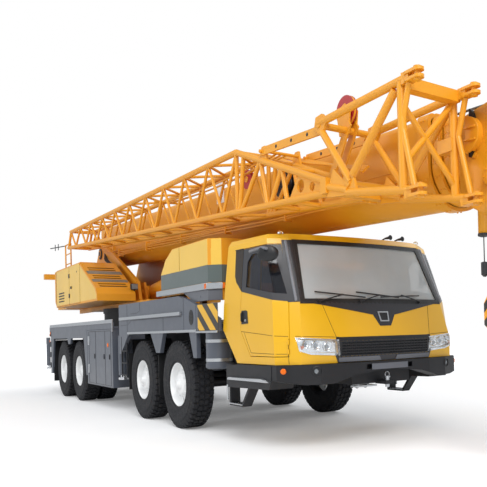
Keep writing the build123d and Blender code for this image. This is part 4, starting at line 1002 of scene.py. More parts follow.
def bumper_trim():
    """Fog lamps, side marker lamps, silver side treads, the hanging steps' grip, blank plate and tow gear."""
    rims, lenses, markers, treads, grips = blanks(5)
    for side in (-1, 1):
        x, y, z = 4.568, side * 0.93, 0.886
        axis = Vector((0.93, side * 0.36, 0))
        turned(rims, (x, y, z), axis, ((-0.03, 0.03), (-0.03, 0.058), (0.02, 0.058), (0.024, 0.05),
            (0.01, 0.046), (0.004, 0.03)), 30)
        knob(lenses, (x, y, z), axis, ((0, 0.046), (0.008, 0.042), (0.016, 0.026)), 30, tip=0.019)
        knob(markers, (4.4, side * 1.24, 0.893), (0.646, side * 0.763, 0),
            ((0, 0.032), (0.008, 0.03), (0.015, 0.016)), 24, tip=0.016)
        tread = [(3.205, 0.768), (3.225, 0.792), (3.8, 0.8), (4.05, 0.806), (4.2, 0.788), (4.225, 0.77),
            (3.215, 0.764)]
        side_plate(treads, tread, *across(side, 1.298, 1.336))
        teeth = set_out(GRID, GRIP_STUD, SILVER, (3.72, side * 1.332, 0.782), (radians(-90 * side), 0, 0),
            30, 0.9, 2, 0.014)
        gather(treads, teeth)
        low, high = across(side, 1.145, 1.275)
        brick(grips, 3.122, 3.473, low, low + 0.018, 0.468, 0.48)
        brick(grips, 3.122, 3.473, high - 0.018, high, 0.468, 0.48)
        gather(grips, set_out(GRID, GRIP_STUD, SILVER, (3.297, side * 1.21, 0.475), (0, 0, 0), 5, 0.264, 3,
            0.07))
        round_bar(grips, (3.145, side * 1.3, 0.52), (3.145, side * 1.3, 0.7), 0.012, 10)
    settle_all("chassis", ("fog_lamp_rims", rims, BLACK_PLASTIC), ("fog_lamp_lenses", lenses, LENS_GREY),
        ("side_marker_lamps", markers, AMBER), ("side_treads", treads, SILVER, 0.003),
        ("hanging_step_grips", grips, SILVER))
    settle("blank_front_plate", made(brick, 4.652, 4.657, -0.26, 0.26, 0.868, 0.935), CHIN_GREY, "chassis",
        0.003)
    pin = bmesh.new()
    for low, high in ((-0.075, -0.05), (0.05, 0.075)):
        side_plate(pin, ((3.96, 0.81), (4.1, 0.79), (4.14, 0.66), (4.08, 0.61), (3.98, 0.66)), low, high)
    brick(pin, 4.0, 4.12, -0.1, 0.21, 0.625, 0.645)
    round_bar(pin, (4.05, -0.1, 0.735), (4.05, 0.1, 0.735), 0.028, 18)
    round_bar(pin, (4.59, 0, 0.655), (4.59, 0, 0.765), 0.024, 18)
    knob(pin, (4.59, 0, 0.765), (0, 0, 1), ((-0.002, 0.036), (0.016, 0.034)), 18, tip=0.02)
    ring = [Vector((4.59, 0.03 * cos(t), 0.8 + 0.03 * sin(t)))
        for t in (2 * pi * k / 16 for k in range(17))]
    tube(pin, ring, 0.005, 8)
    settle("tow_pin", pin, SILVER, "chassis")


def front_side():
    """Handrails, lower trim, dark oval discs painted as the shade in the access holes, joints and hazard
    stripes of the front side panels.
    """
    rails, trims, holes, lines = blanks(4)
    for side in (-1, 1):
        y = side * RAIL_Y
        brick(rails, -0.98, 1.8, *sorted((y, y + side * 0.022)), 1.575, 1.622)
        for x in (-0.95, -0.45, 0.05, 0.55, 1.05, 1.55, 1.78):
            brick(rails, x - 0.02, x + 0.02, *sorted((side * 1.325, y)), 1.585, 1.612)
        brick(trims, -0.62, 2.29, *across(side, 1.328, 1.342), 1.338, 1.372)
        brick(trims, 2.29, 2.96, *across(side, 1.328, 1.342), 1.325, 1.35)
        # dark oval discs laid on the side panels: painted shade standing for the access holes
        knob(holes, (2.125, side * 1.331, 1.535), (0, side, 0), ((-0.001, 0.075), (0.002, 0.075),
            (0.003, 0.06)), 36, tip=0.0025)
        flat = lambda x, z, side=side: Vector((x, side * JOINT_Y, z))
        for points in (((1.72, 1.835), (1.86, 1.8), (1.86, 1.375)),
                ((-1.0, 1.49), (-0.62, 1.49), (-0.42, 1.56), (1.78, 1.56)),
                ((0.02, 1.835), (0.02, 1.7), (-0.14, 1.67), (-0.44, 1.67)), ((1.06, 1.365), (1.06, 1.56)),
                ((2.29, 1.34), (2.29, 1.69)), ((-0.64, 1.3), (-0.64, 1.835))):
            tube(lines, [flat(*p) for p in divided(points, 0.08)], 0.003, 6)
    for vert in holes.verts:
        vert.co.z = 1.535 + (vert.co.z - 1.535) * 1.35
    settle_all("chassis", ("side_handrails", rails, SILVER), ("side_lower_trim", trims, SILVER, 0.003),
        ("access_holes", holes, GASKET), ("side_panel_joints", lines, GASKET))
    # striped guards between the hood and the cab: bands slant down to the front
    black, yellow = blanks(2)
    guard = ((2.36, 1.355), (2.36, 1.7), (2.985, 1.69), (2.985, 1.355))
    for side in (-1, 1):
        y = side * 1.3305
        side_plate(black, guard, *sorted((y, y + side * 0.005)))
        face = y + side * 0.007
        for start in (1.99, 2.33, 2.67):
            band = [(start, 1.688), (start + 0.175, 1.688), (start + 0.175 + 0.42, 1.358),
                (start + 0.42, 1.358)]
            band = clipped(band, 2.364, 2.982)
            if len(band) > 2:
                side_plate(yellow, band, *sorted((face, face - side * 0.004)))
    settle_all("chassis", ("hazard_guards", black, HAZARD_BLACK, 0.003),
        ("hazard_bands", yellow, CAB_YELLOW, 0, False))


def clipped(ring, low, high):
    """The part of an (x, z) outline between two x values."""
    for limit, sign in ((low, 1), (high, -1)):
        kept = []
        for (x0, z0), (x1, z1) in zip(ring, ring[1:] + ring[:1]):
            inside0, inside1 = sign * (x0 - limit) >= 0, sign * (x1 - limit) >= 0
            if inside0:
                kept.append((x0, z0))
            if inside0 != inside1:
                t = (limit - x0) / (x1 - x0)
                kept.append((limit, z0 + (z1 - z0) * t))
        ring = kept
    return ring


def tool_box_doors():
    """The joints of three doors on each tool box, with hinges, catches and a marker lamp."""
    seams, hinges, lamps, catches = blanks(4)
    for side in (-1, 1):
        flat = lambda x, z, side=side: Vector((x, side * JOINT_Y, z))
        for x in (-3.1, -2.62, -1.98, -1.62):
            tube(seams, [flat(x, 0.43), flat(x, 1.41)], 0.0045, 6)
        for z in (0.43, 1.41):
            tube(seams, [flat(-3.1, z), flat(-1.62, z)], 0.0045, 6)
        for z in (0.7, 1.24):
            brick(hinges, -3.135, -3.065, *across(side, 1.328, 1.34), z - 0.085, z + 0.085)
            round_bar(hinges, (-3.1, side * 1.342, z - 0.085), (-3.1, side * 1.342, z + 0.085), 0.011, 12)
        knob(lamps, (-1.8, side * 1.328, 1.155), (0, side, 0), ((0, 0.04), (0.01, 0.038), (0.016, 0.02)),
            24, tip=0.017)
        for x in (-2.69, -2.05, -1.7):
            brick(catches, x - 0.016, x + 0.016, *across(side, 1.328, 1.341), 0.9, 0.99)
    settle_all("chassis", ("tool_box_seams", seams, GASKET), ("tool_box_hinges", hinges, SILVER, 0.002),
        ("tool_box_marker_lamps", lamps, AMBER), ("tool_box_catches", catches, BLACK_PLASTIC, 0.003))


def rear_side():
    """Silver rails of the rear deck, striped flaps, reflectors, tail lamps, mud flaps and guard bar."""
    rails, white, dark, ambers, reds, flaps = blanks(6)
    for side in (-1, 1):
        y0, y1 = across(side, 1.325, 1.343)
        brick(rails, -6.61, -1.475, y0, y1, 1.548, 1.612)
        brick(rails, -1.505, -1.475, y0, y1, 1.395, 1.548)
        gather(rails, set_out(GRID, RIVET, SILVER, (-4.05, side * 1.343, 1.58), (radians(-90 * side), 0, 0),
            18, 5.0))
        y = side * 1.3315
        for k in range(8):
            z0 = 0.492 + k * 0.122
            brick(white if k % 2 == 0 else dark, -6.632, -6.545, *sorted((y, y + side * 0.004)), z0,
                z0 + 0.118)
        brick(ambers, -6.632, -6.56, *sorted((y, y + side * 0.008)), 1.4, 1.455)
        for z in (0.95, 1.1):
            knob(ambers, (-7.05, side * 1.255, z + 0.28), (0, side, 0), ((0, 0.03), (0.01, 0.024)), 20,
                tip=0.011)
        brick(reds, -7.462, -7.45, side * 1.02 - 0.16, side * 1.02 + 0.16, 1.36, 1.46)
        brick(ambers, -7.462, -7.45, side * 0.78 - 0.07, side * 0.78 + 0.07, 1.36, 1.46)
        brick(white, -7.461, -7.45, side * 0.62 - 0.06, side * 0.62 + 0.06, 1.36, 1.46)
        for axle in (-6.43, -3.42, -0.7, 0.745):
            wide = 0.6 if axle < -3 else 0.3
            low, high = sorted((side * (1.3 - wide), side * 1.3))
            lift = 0.3 if axle < -3 else 0.42
            brick(flaps, axle - 0.006, axle + 0.006, low, high, lift, 1.02 if axle > -3 else 1.2)
    settle_all("chassis", ("deck_rails", rails, SILVER, 0.002),
        ("rear_flap_white", white, WHEEL_WHITE, 0.001), ("rear_flap_dark", dark, GASKET, 0.001),
        ("amber_reflectors", ambers, AMBER, 0.001), ("tail_lamps", reds, RED_LENS, 0.003),
        ("mud_flaps", flaps, GASKET, 0.002))
    bar = bmesh.new()
    round_bar(bar, (-7.4, -1.2, 0.78), (-7.4, 1.2, 0.78), 0.05, 16)
    for y in (-0.7, 0.7):
        side_plate(bar, ((-7.43, 0.76), (-7.37, 0.76), (-7.34, 0.9), (-7.42, 0.9)), y - 0.03, y + 0.03)
    settle("rear_guard_bar", bar, CARRIER_BLACK, "chassis")


def deck_gear():
    """Tread studs on the decks, air tanks, drive shafts, side tank straps and foot, and the deck ladders."""
    studs = bmesh.new()
    for x, reach, y, wide in ((-2.4, 1.7, 1.05, 0.36), (-2.4, 1.7, -1.05, 0.36), (-0.15, 1.7, 1.0, 0.5),
            (-0.15, 1.7, -1.0, 0.5)):
        z = 1.485 if x < -1.5 else 1.44
        rows = max(2, round(wide / 0.075))
        gather(studs, set_out(GRID, GRIP_STUD, SILVER, (x, y, z), (0, 0, 0), round(reach / 0.075), reach,
            rows, wide))
    settle("deck_studs", studs, CARRIER_GREY, "chassis")
    tanks = bmesh.new()
    for side in (-1, 1):
        for x in (-2.2, -1.75):
            turned(tanks, (x - 0.16, side * 0.6, 0.72), (1, 0, 0),
                ((0, 0), (0.01, 0.06), (0.04, 0.105), (0.08, 0.115), (0.3, 0.115), (0.34, 0.105),
                (0.37, 0.06), (0.38, 0)), 28)
            brick(tanks, x - 0.01, x + 0.05, side * 0.6 - 0.015, side * 0.6 + 0.015, 0.82, 0.9)
    settle("air_tanks", tanks, CARRIER_BLACK, "chassis")
    shaft = bmesh.new()
    for start, end in (((1.3, 0, 0.96), (0.3, 0, 0.8)), ((-0.35, 0, 0.78), (-3.75, 0, 0.74)),
            ((-4.36, 0, 0.66), (-5.14, 0, 0.66))):
        round_bar(shaft, start, end, 0.055, 18)
        for place in (start, end):
            knob(shaft, place, Vector(end) - Vector(start), ((-0.03, 0.085), (0.03, 0.085)), 18)
    settle("drive_shafts", shaft, DARK_STEEL, "chassis")
    caps = bmesh.new()
    knob(caps, (2.59, -1.15, 1.335), (0, 0, 1), ((-0.01, 0.05), (0.03, 0.05), (0.036, 0.03)), 24)
    for z in (0.98, 1.22):
        turned(caps, (2.59, -1.15, z), (0, 0, 1), ((-0.02, 0.16), (-0.02, 0.169), (0.02, 0.169),
            (0.02, 0.16)), 40)
        for x in (2.5, 2.68):
            brick(caps, x - 0.012, x + 0.012, 0.98, 1.319, z - 0.3 + 0.02, z - 0.26)
    settle_all("chassis", ("tank_straps", caps, SILVER), ("air_filter_foot",
        made(knob, (2.59, -1.15, 0.885), (0, 0, 1), ((-0.02, 0.15), (0.0, 0.172), (0.05, 0.172)), 36),
        CARRIER_GREY))
    ladder = bmesh.new()
    for side in (-1, 1):
        for x in (-0.98, -0.7):
            round_bar(ladder, (x, side * 1.322, 0.62), (x, side * 1.322, 1.3 if x < -0.9 else 1.2), 0.013,
                10)
        for z in (0.66, 0.86, 1.06):
            round_bar(ladder, (-0.98, side * 1.322, z), (-0.7, side * 1.322, z), 0.012, 10)
    settle("deck_ladders", ladder, CARRIER_BLACK, "chassis")


# ------------------------------------------------------------------ engine hood
def hood_dress():
    """Pale upper panels, green-grey band, silver strips with lamps, brackets, roof louvres and exhaust."""
    pale, band, strip, lamp, under, gaps = blanks(6)
    side_outline = ((0.856, 2.192), (1.052, 2.392), (1.335, 2.522), (2.565, 2.522), (2.565, 2.192))
    for side in (-1, 1):
        low, high = across(side, 1.268, 1.273)
        side_plate(pale, side_outline, low, high)
        side_plate(band, ((0.853, 1.968), (0.856, 2.19), (2.567, 2.19), (2.567, 1.968)), low, high)
        prism(band, ((2.567, side * 1.2735, 1.968), (2.567, side * 1.268, 1.968),
            (2.697, side * 1.138, 1.968), (2.7035, side * 1.141, 1.968)), (0, 0, 0.222))
        prism(pale, ((2.565, side * 1.273, 2.19), (2.565, side * 1.266, 2.19), (2.697, side * 1.134, 2.19),
            (2.7035, side * 1.1415, 2.19)), (0, 0, 0.332))
        brick(strip, 0.7, 2.58, *across(side, 1.262, 1.298), 1.88, 1.962)
        prism(strip, ((2.58, side * 1.298, 1.88), (2.58, side * 1.262, 1.88), (2.71, side * 1.138, 1.88),
            (2.738, side * 1.15, 1.88)), (0, 0, 0.082))
        brick(lamp, 2.505, 2.56, *across(side, 1.296, 1.303), 1.888, 1.954)
        prism(lamp, ((2.715, side * 1.165, 1.888), (2.7, side * 1.15, 1.888), (2.74, side * 1.112, 1.888),
            (2.756, side * 1.126, 1.888)), (0, 0, 0.066))
        side_plate(under, ((1.72, 1.88), (1.86, 1.832), (2.052, 1.752), (2.1, 1.738), (2.568, 1.738),
            (2.568, 1.88)), *across(side, 1.262, 1.2745))
        prism(under, ((2.567, side * 1.2745, 1.738), (2.567, side * 1.262, 1.738),
            (2.697, side * 1.132, 1.738), (2.7045, side * 1.1415, 1.738)), (0, 0, 0.142))
        knob(under, (2.32, side * 1.274, 1.8), (0, side, 0), ((-0.001, 0.016), (0.006, 0.014)), 14,
            tip=0.007)
        flat = lambda x, z, side=side: Vector((x, side * 1.2735, z))
        tube(gaps, [flat(1.6, 2.2), flat(1.6, 2.52)], 0.003, 6)
        for z in (2.335, 2.3, 2.265):
            brick(gaps, 0.98, 1.0, *across(side, 1.0, 1.2), z, z + 0.012)
    settle_all("chassis", ("hood_pale_sides", pale, PALE_YELLOW, 0.002),
        ("hood_bands", band, BAND_GREEN, 0, False))
    band = bmesh.new()
    brick(band, 2.698, 2.704, -1.14, 1.14, 1.968, 2.19)
    settle_all("chassis", ("hood_band_front", band, BAND_GREEN, 0, False),
        ("hood_strips", strip, SILVER, 0.006), ("hood_strip_lamps", lamp, AMBER, 0.003),
        ("hood_brackets", under, CHIN_GREY, 0.004), ("hood_gaps", gaps, BODY_SEAM))
    mesh_panel = bmesh.new()
    slat = bmesh.new()
    prism(slat, ((-0.2, -0.012, 0), (-0.2, 0.012, 0.012), (-0.2, 0.008, 0.016), (-0.2, -0.014, 0.004)),
        (0.4, 0, 0))
    slat_piece = template("roof_slat", slat)
    for y in (-0.6, 0.6):
        gather(mesh_panel, set_out(GRID, slat_piece, BLACK_PLASTIC, (2.0, y, 2.53), (0, 0, 0), 2, 0.46, 16,
            0.56))
    settle_all("chassis", ("hood_roof_louvres", mesh_panel, BLACK_PLASTIC, 0, False),
        ("exhaust_stub", made(tube, ((1.45, 0.95, 2.5), (1.45, 0.95, 2.6), (1.38, 0.95, 2.66)), 0.055, 16,
        0.06), DARK_STEEL))


# ------------------------------------------------------------------ machinery housing and turntable
HOUSE_Y = 1.33


def house_dress():
    """Grip bands, dark sheets and strips painted as the shade in the slots and louvres, seams, handle, pale
    side and work lamp of the machinery housing.
    """
    bands, gaps, dark, grip_dark = blanks(4)
    y0, y1 = -HOUSE_Y - 0.002, -0.64
    # ribbed grip bands lie on the raked front, between the louvre rows
    top, foot = Vector((-3.69, 0, 2.8)), Vector((-2.55, 0, 2.24))
    down = (foot - top).normalized()
    lift = Vector((-down.z, 0, down.x)) * -1
    if lift.z < 0:
        lift = -lift
    for low, high in ((0.405, 0.56), (0.845, 0.975)):
        for k in range(7):
            start = top + down * (low + (high - low) * k / 7)
            end = start + down * (high - low) / 8
            prism(bands, [(p.x, y0 + 0.03, p.z) for p in (start, end, end + lift * 0.006,
                start + lift * 0.006)], (0, y1 - y0 - 0.03, 0))
    # dark sheets behind the raked slots: painted shade inside the slot openings
    mouth = Vector((-3.69, 0, 2.8))
    for distance in (0.215, 0.33, 0.65, 0.76, 1.065, 1.18):
        foot_edge = mouth + down * (distance + 0.0305) - lift * 0.016
        head_edge = mouth + down * (distance - 0.0305) - lift * 0.016
        prism(dark, [(p.x, -1.234, p.z) for p in (foot_edge, head_edge, head_edge + lift * 0.003,
            foot_edge + lift * 0.003)], (0, 0.518, 0))
    flat = lambda x, z: Vector((x, y0 + 0.001, z))
    for points in (((-4.62, 2.01), (-4.62, 2.83)), ((-5.86, 2.06), (-5.86, 2.8)),
            ((-3.72, 2.01), (-3.72, 2.8)), ((-5.86, 2.01), (-3.72, 2.01))):
        tube(gaps, [flat(*p) for p in points], 0.004, 6)
    brick(grip_dark, -4.5, -4.4, y0 - 0.012, y0 + 0.006, 2.34, 2.39)
    # dark strips laid on the side: painted shade standing for louvre slots
    for z in (2.1, 2.16, 2.22, 2.28):
        brick(dark, -5.6, -5.1, y0 - 0.003, y0 + 0.006, z, z + 0.026)
    knob(dark, (-3.96, y0 + 0.002, 2.66), (0, -1, 0), ((-0.002, 0.018), (0.004, 0.018)), 20)
    for z in (2.2, 2.62):
        brick(grip_dark, -4.66, -4.58, y0 - 0.01, y0 + 0.005, z - 0.045, z + 0.045)
    settle_all("turntable", ("housing_grip_bands", bands, GRIP_GREY, 0, False),
        ("housing_gaps", gaps, BODY_SEAM), ("housing_louvres", dark, GASKET),
        ("housing_handle", grip_dark, BLACK_PLASTIC, 0.004))
    pale = bmesh.new()
    side = ((-5.84, 2.03), (-5.84, 2.8), (-3.8, 2.815), (-2.62, 2.235), (-2.49, 2.1), (-2.49, 2.03))
    side_plate(pale, side, y0 + 0.0005, y0 + 0.006)
    settle("housing_pale_side", pale, PALE_YELLOW, "turntable", smooth=False)
    lamp, lens = blanks(2)
    brick(lamp, -2.56, -2.47, -0.69, -0.56, 2.205, 2.325)
    brick(lamp, -2.53, -2.5, -0.64, -0.61, 2.08, 2.21)
    brick(lens, -2.472, -2.462, -0.68, -0.57, 2.215, 2.315)
    settle_all("turntable", ("work_lamp", lamp, BLACK_PLASTIC, 0.012),
        ("work_lamp_lens", lens, LENS_GREY, 0.004))


def stern_dress():
    """Stern rail, aerial, beacon and the counterweight's stripes, lifting lugs and joint."""
    post = bmesh.new()
    round_bar(post, (-6.42, -1.0, 2.7), (-6.42, -1.0, 3.5), 0.016, 12)
    round_bar(post, (-5.9, -1.0, 2.84), (-5.9, -1.0, 3.5), 0.016, 12)
    tube(post, ((-6.42, -1.0, 3.44), (-6.42, -1.0, 3.5), (-5.9, -1.0, 3.5), (-5.9, -1.0, 3.44)), 0.016, 12,
        0.05)
    for z in (3.04, 3.27):
        round_bar(post, (-6.42, -1.0, z), (-5.9, -1.0, z), 0.012, 10)
    round_bar(post, (-6.42, -1.0, 2.84), (-5.9, -1.0, 2.84), 0.014, 10)
    settle("stern_rail", post, CRANE_YELLOW, "turntable")
    aerial = bmesh.new()
    tube(aerial, ((-6.43, -1.0, 3.495), (-7.0, -1.09, 3.515), (-7.32, -1.15, 3.525)), 0.012, 10)
    for x, y in ((-7.05, -1.098), (-6.86, -1.068)):
        tube(aerial, ((x, y, 3.44), (x, y, 3.59)), 0.009, 8)
    settle("stern_aerial", aerial, DARK_STEEL, "turntable")
    rim, lens = blanks(2)
    knob(rim, (-7.4, 1.1, 2.895), (0, 0, 1), ((-0.01, 0.07), (0.03, 0.07)), 24, tip=0.035)
    knob(lens, (-7.4, 1.1, 2.93), (0, 0, 1), ((-0.005, 0.055), (0.1, 0.05), (0.13, 0.03)), 24, tip=0.135)
    settle_all("turntable", ("beacon_foot", rim, BLACK_PLASTIC), ("beacon_lens", lens, AMBER))
    black, white = blanks(2)
    x0 = -7.353
    for y in (-0.86, -0.42, 0.02, 0.46):
        prism(black, ((x0, y, 2.06), (x0, y + 0.2, 2.06), (x0, y + 0.42, 2.62), (x0, y + 0.22, 2.62)),
            (0.006, 0, 0))
    settle("counterweight_stripes", black, HAZARD_BLACK, "turntable", smooth=False)
    for y in (-0.62, 0.62):
        knob(white, (-6.9, y, 2.69), (0, 0, 1), ((-0.02, 0.06), (0.03, 0.06), (0.045, 0.04)), 24)
    settle("counterweight_lugs", white, DARK_STEEL, "turntable")
    seams = bmesh.new()
    for side in (-1, 1):
        tube(seams, [Vector((x, side * 1.001, 2.3)) for x in (-7.33, -6.47)], 0.005, 6)
    settle("counterweight_joint", seams, BODY_SEAM, "turntable")


def bolt_ring():
    """The slewing ring's bolts, hoses along the right cheek and the covers of its pivots."""
    bolts = set_out(RING, BOLT, DARK_STEEL, (-4.1, 0, 1.985), (0, 0, 0), 36, 0.555)
    settle("slewing_ring_bolts", bolts, DARK_STEEL, "turntable")
    hoses = bmesh.new()
    for k, y in enumerate((-0.545, -0.575, -0.605)):
        tube(hoses, ((-3.2, y, 2.0), (-3.15, y, 2.32 + k * 0.03), (-3.9, y, 2.74), (-4.6, y, 3.0),
            (-4.95, -0.5, 3.18)), 0.014, 10, 0.12)
    settle("cheek_hoses", hoses, BLACK_PLASTIC, "turntable")
    hooks = bmesh.new()
    for y in (-0.512, 0.512):
        side = -1 if y < 0 else 1
        knob(hooks, (-5.25, y - side * 0.004, 3.2), (0, side, 0),
            ((-0.01, 0.125), (0.018, 0.125), (0.024, 0.115), (0.024, 0.05), (0.04, 0.045)), 36)
        knob(hooks, (-3.15, y - side * 0.004, 2.2), (0, side, 0),
            ((-0.01, 0.1), (0.018, 0.1), (0.022, 0.09)), 36)
    settle("pivot_caps", hooks, DARK_STEEL, "turntable")


# ------------------------------------------------------------------ winches
DRUM_R = 0.2165


def winch_ropes():
    """Rope laid turn by turn on both drums, and the bolts of their rims."""
    lay = bmesh.new()
    bolts = bmesh.new()
    for x in (-6.85, -6.15):
        z = 2.56
        turns = 30
        path = []
        for k in range(turns * 24 + 1):
            t = 2 * pi * k / 24
            y = -0.355 + 0.71 * k / (turns * 24)
            path.append(Vector((x + DRUM_R * cos(t), y, z + DRUM_R * sin(t))))
        tube(lay, path, 0.0115, 6)
        for y, side in ((-0.445, -1), (0.445, 1)):
            gather(bolts, set_out(RING, BOLT, DARK_STEEL, (x, y, z), (radians(-90 * side), 0, 0), 12, 0.13))
    settle_all("turntable", ("winch_ropes", lay, STEEL_ROPE), ("winch_bolts", bolts, DARK_STEEL))


# ------------------------------------------------------------------ operator cab
def operator_panes():
    """Tinted panes of the operator cab in their openings, with its door handle, rails and wiper."""
    door_pane, boom_pane, rear, front, roof = blanks(5)
    window = ((-3.955, 2.425), (-2.965, 2.425), (-3.115, 3.195), (-3.955, 3.195))
    side_plate(door_pane, window, 1.298, 1.306)
    side_plate(boom_pane, window, 0.59, 0.598)
    quarter = ((-4.595, 2.605), (-4.165, 2.605), (-4.165, 3.195), (-4.595, 3.195))
    side_plate(rear, quarter, 1.298, 1.306)
    side_plate(rear, quarter, 0.59, 0.598)
    a, b = Vector((-2.728, 0, 2.398)), Vector((-2.936, 0, 3.264))
    prism(front, ((a.x, 0.652, a.z), (a.x, 1.248, a.z), (b.x, 1.248, b.z), (b.x, 0.652, b.z)),
        (-0.008, 0, 0))
    brick(roof, -4.3, -3.3, 0.7, 1.2, 3.395, 3.403)
    for name, work, body in (("operator_door_pane", door_pane, "operator_door"),
            ("boom_side_pane", boom_pane, "turntable"), ("rear_quarter_panes", rear, "turntable"),
            ("operator_screen", front, "turntable"), ("roof_pane", roof, "turntable")):
        settle(name, work, SIDE_GLASS, body, smooth=False)
    settle("operator_door_handle", made(brick, -4.02, -3.92, 1.332, 1.345, 2.36, 2.4), BLACK_PLASTIC,
        "operator_door", 0.004)
    rails = bmesh.new()
    tube(rails, ((-4.12, 1.325, 2.25), (-4.12, 1.365, 2.25), (-4.12, 1.365, 3.05), (-4.12, 1.325, 3.05)),
        0.013, 10, 0.03)
    for y in (0.66, 1.24):
        tube(rails, ((-4.5, y, 3.425), (-4.5, y, 3.52), (-3.3, y, 3.52), (-3.3, y, 3.425)), 0.013, 10, 0.06)
    settle("operator_cab_rails", rails, CRANE_YELLOW, "turntable")
    wiper = bmesh.new()
    tube(wiper, ((-2.704, 0.95, 2.36), (-2.76, 0.92, 2.62), (-2.86, 0.9, 3.05)), 0.007, 8)
    round_bar(wiper, (-2.8, 0.905, 2.8), (-2.905, 0.895, 3.22), 0.01, 8)
    settle("operator_wiper", wiper, BLACK_PLASTIC, "turntable")


def operator_inside():
    """Seat on its foot, arm consoles with sticks, a screen and pedals of the operator cab."""
    seat("operator_seat", "turntable", -4.06, 0.95, 2.4, 0.44)
    work = bmesh.new()
    brick(work, -4.2, -3.86, 0.8, 1.1, 2.042, 2.16)
    knob(work, (-4.03, 0.95, 2.16), (0, 0, 1), ((-0.01, 0.1), (0.1, 0.075), (0.15, 0.1)), 20)
    for y in (0.7, 1.165):
        brick(work, -4.12, -3.66, y - 0.045, y + 0.045, 2.46, 2.56)
        knob(work, (-3.73, y, 2.56), (0.1, 0, 1), ((-0.01, 0.035), (0.03, 0.012), (0.12, 0.01),
            (0.13, 0.022), (0.19, 0.02)), 16, tip=0.2)
    brick(work, -3.1, -2.98, 1.02, 1.25, 2.42, 2.58)
    for y in (0.82, 0.98, 1.1):
        prism(work, ((-3.3, y, 2.07), (-3.3, y + 0.08, 2.07), (-3.14, y + 0.08, 2.17), (-3.14, y, 2.17)),
            (-0.008, 0, 0.018))
        round_bar(work, (-3.22, y + 0.04, 2.035), (-3.22, y + 0.04, 2.13), 0.012, 10)
    settle("operator_console", work, DARK_TRIM, "turntable", 0.006)


# ------------------------------------------------------------------ boom
BOOM_PIN = Vector((-5.25, 0, 3.2))
BOOM_FALL = radians(2.3)
BOOM_DIR = Vector((cos(BOOM_FALL), 0, -sin(BOOM_FALL)))
BOOM_UP = Vector((sin(BOOM_FALL), 0, cos(BOOM_FALL)))
CENTRE_N = 0.17
COLLARS = (("boom_base", 0.4, 0.43, 10.94, 11.1), ("boom_section_2", 0.362, 0.392, 11.115, 11.225),
    ("boom_section_3", 0.324, 0.354, 11.235, 11.34), ("boom_section_4", 0.286, 0.316, 11.35, 11.45),
    ("boom_head", 0.248, 0.278, 11.455, 11.56))


def on_boom(s, n=0.0, y=0.0):
    """A point by its distance along the boom, above the foot pin and across."""
    return BOOM_PIN + BOOM_DIR * s + BOOM_UP * n + Vector((0, y, 0))


def boom_brick(work, s0, s1, n0, n1, y0, y1):
    prism(work, [on_boom(s, n, y0) for s, n in ((s0, n0), (s1, n0), (s1, n1), (s0, n1))], (0, y1 - y0, 0))


def collar_edge(half_w, half_h, steps=9):
    """Points (y, n) and outward directions round the belly and the flanks of a collar."""
    w, h = half_w + 0.024, half_h + 0.024
    waist = CENTRE_N - h + w
    marks = [((side * w, waist + share * (CENTRE_N + h - 0.07 - waist)), (side, 0)) for side in (-1, 1)
        for share in (0.12, 0.34, 0.56, 0.78, 1.0)]
    for k in range(1, steps):
        t = pi + pi * k / steps
        marks.append(((w * cos(t), waist + w * sin(t)), (cos(t), sin(t))))
    return marks


def boom_collars():
    """Bolts and pad housings of every collar, and raised frames on the flanks of two of them."""
    for body, half_w, half_h, back, front in COLLARS:
        bolts, pads, frames = blanks(3)
        middle = (back + front) / 2
        for (y, n), (out_y, out_n) in collar_edge(half_w, half_h):
            out = Vector((0, out_y, 0)) + BOOM_UP * out_n
            for ds in (-0.024, 0.024):
                knob(bolts, on_boom(middle + ds, n, y), out, ((-0.004, 0.0105), (0.007, 0.0105),
                    (0.009, 0.006)), 6)
        w, top = half_w + 0.024, CENTRE_N + half_h + 0.024
        for side in (-1, 1):
            low, high = sorted((side * w, side * (w + 0.009)))
            if body in ("boom_section_2", "boom_section_4"):
                n0, n1 = top - 0.46, top - 0.14
                for s0, s1, a, b in ((back + 0.012, back + 0.026, n0, n1),
                        (front - 0.026, front - 0.012, n0, n1), (back + 0.026, front - 0.026, n1 - 0.014,
                        n1), (back + 0.026, front - 0.026, n0, n0 + 0.014)):
                    boom_brick(frames, s0, s1, a, b, low, high)
        for y in (-half_w * 0.62, half_w * 0.62):
            boom_brick(pads, back + 0.016, front - 0.016, top - 0.002, top + 0.016, y - 0.055, y + 0.055)
            for dy in (-0.03, 0.03):
                knob(bolts, on_boom(middle, top + 0.014, y + dy), BOOM_UP, ((0, 0.012), (0.01, 0.012)), 6,
                    tip=0.012)
        settle(f"pad_bolts_{body}", bolts, CRANE_YELLOW, body, smooth=False)
        gather(pads, frames)
        settle(f"pad_housings_{body}", pads, CRANE_YELLOW, body, 0.003)


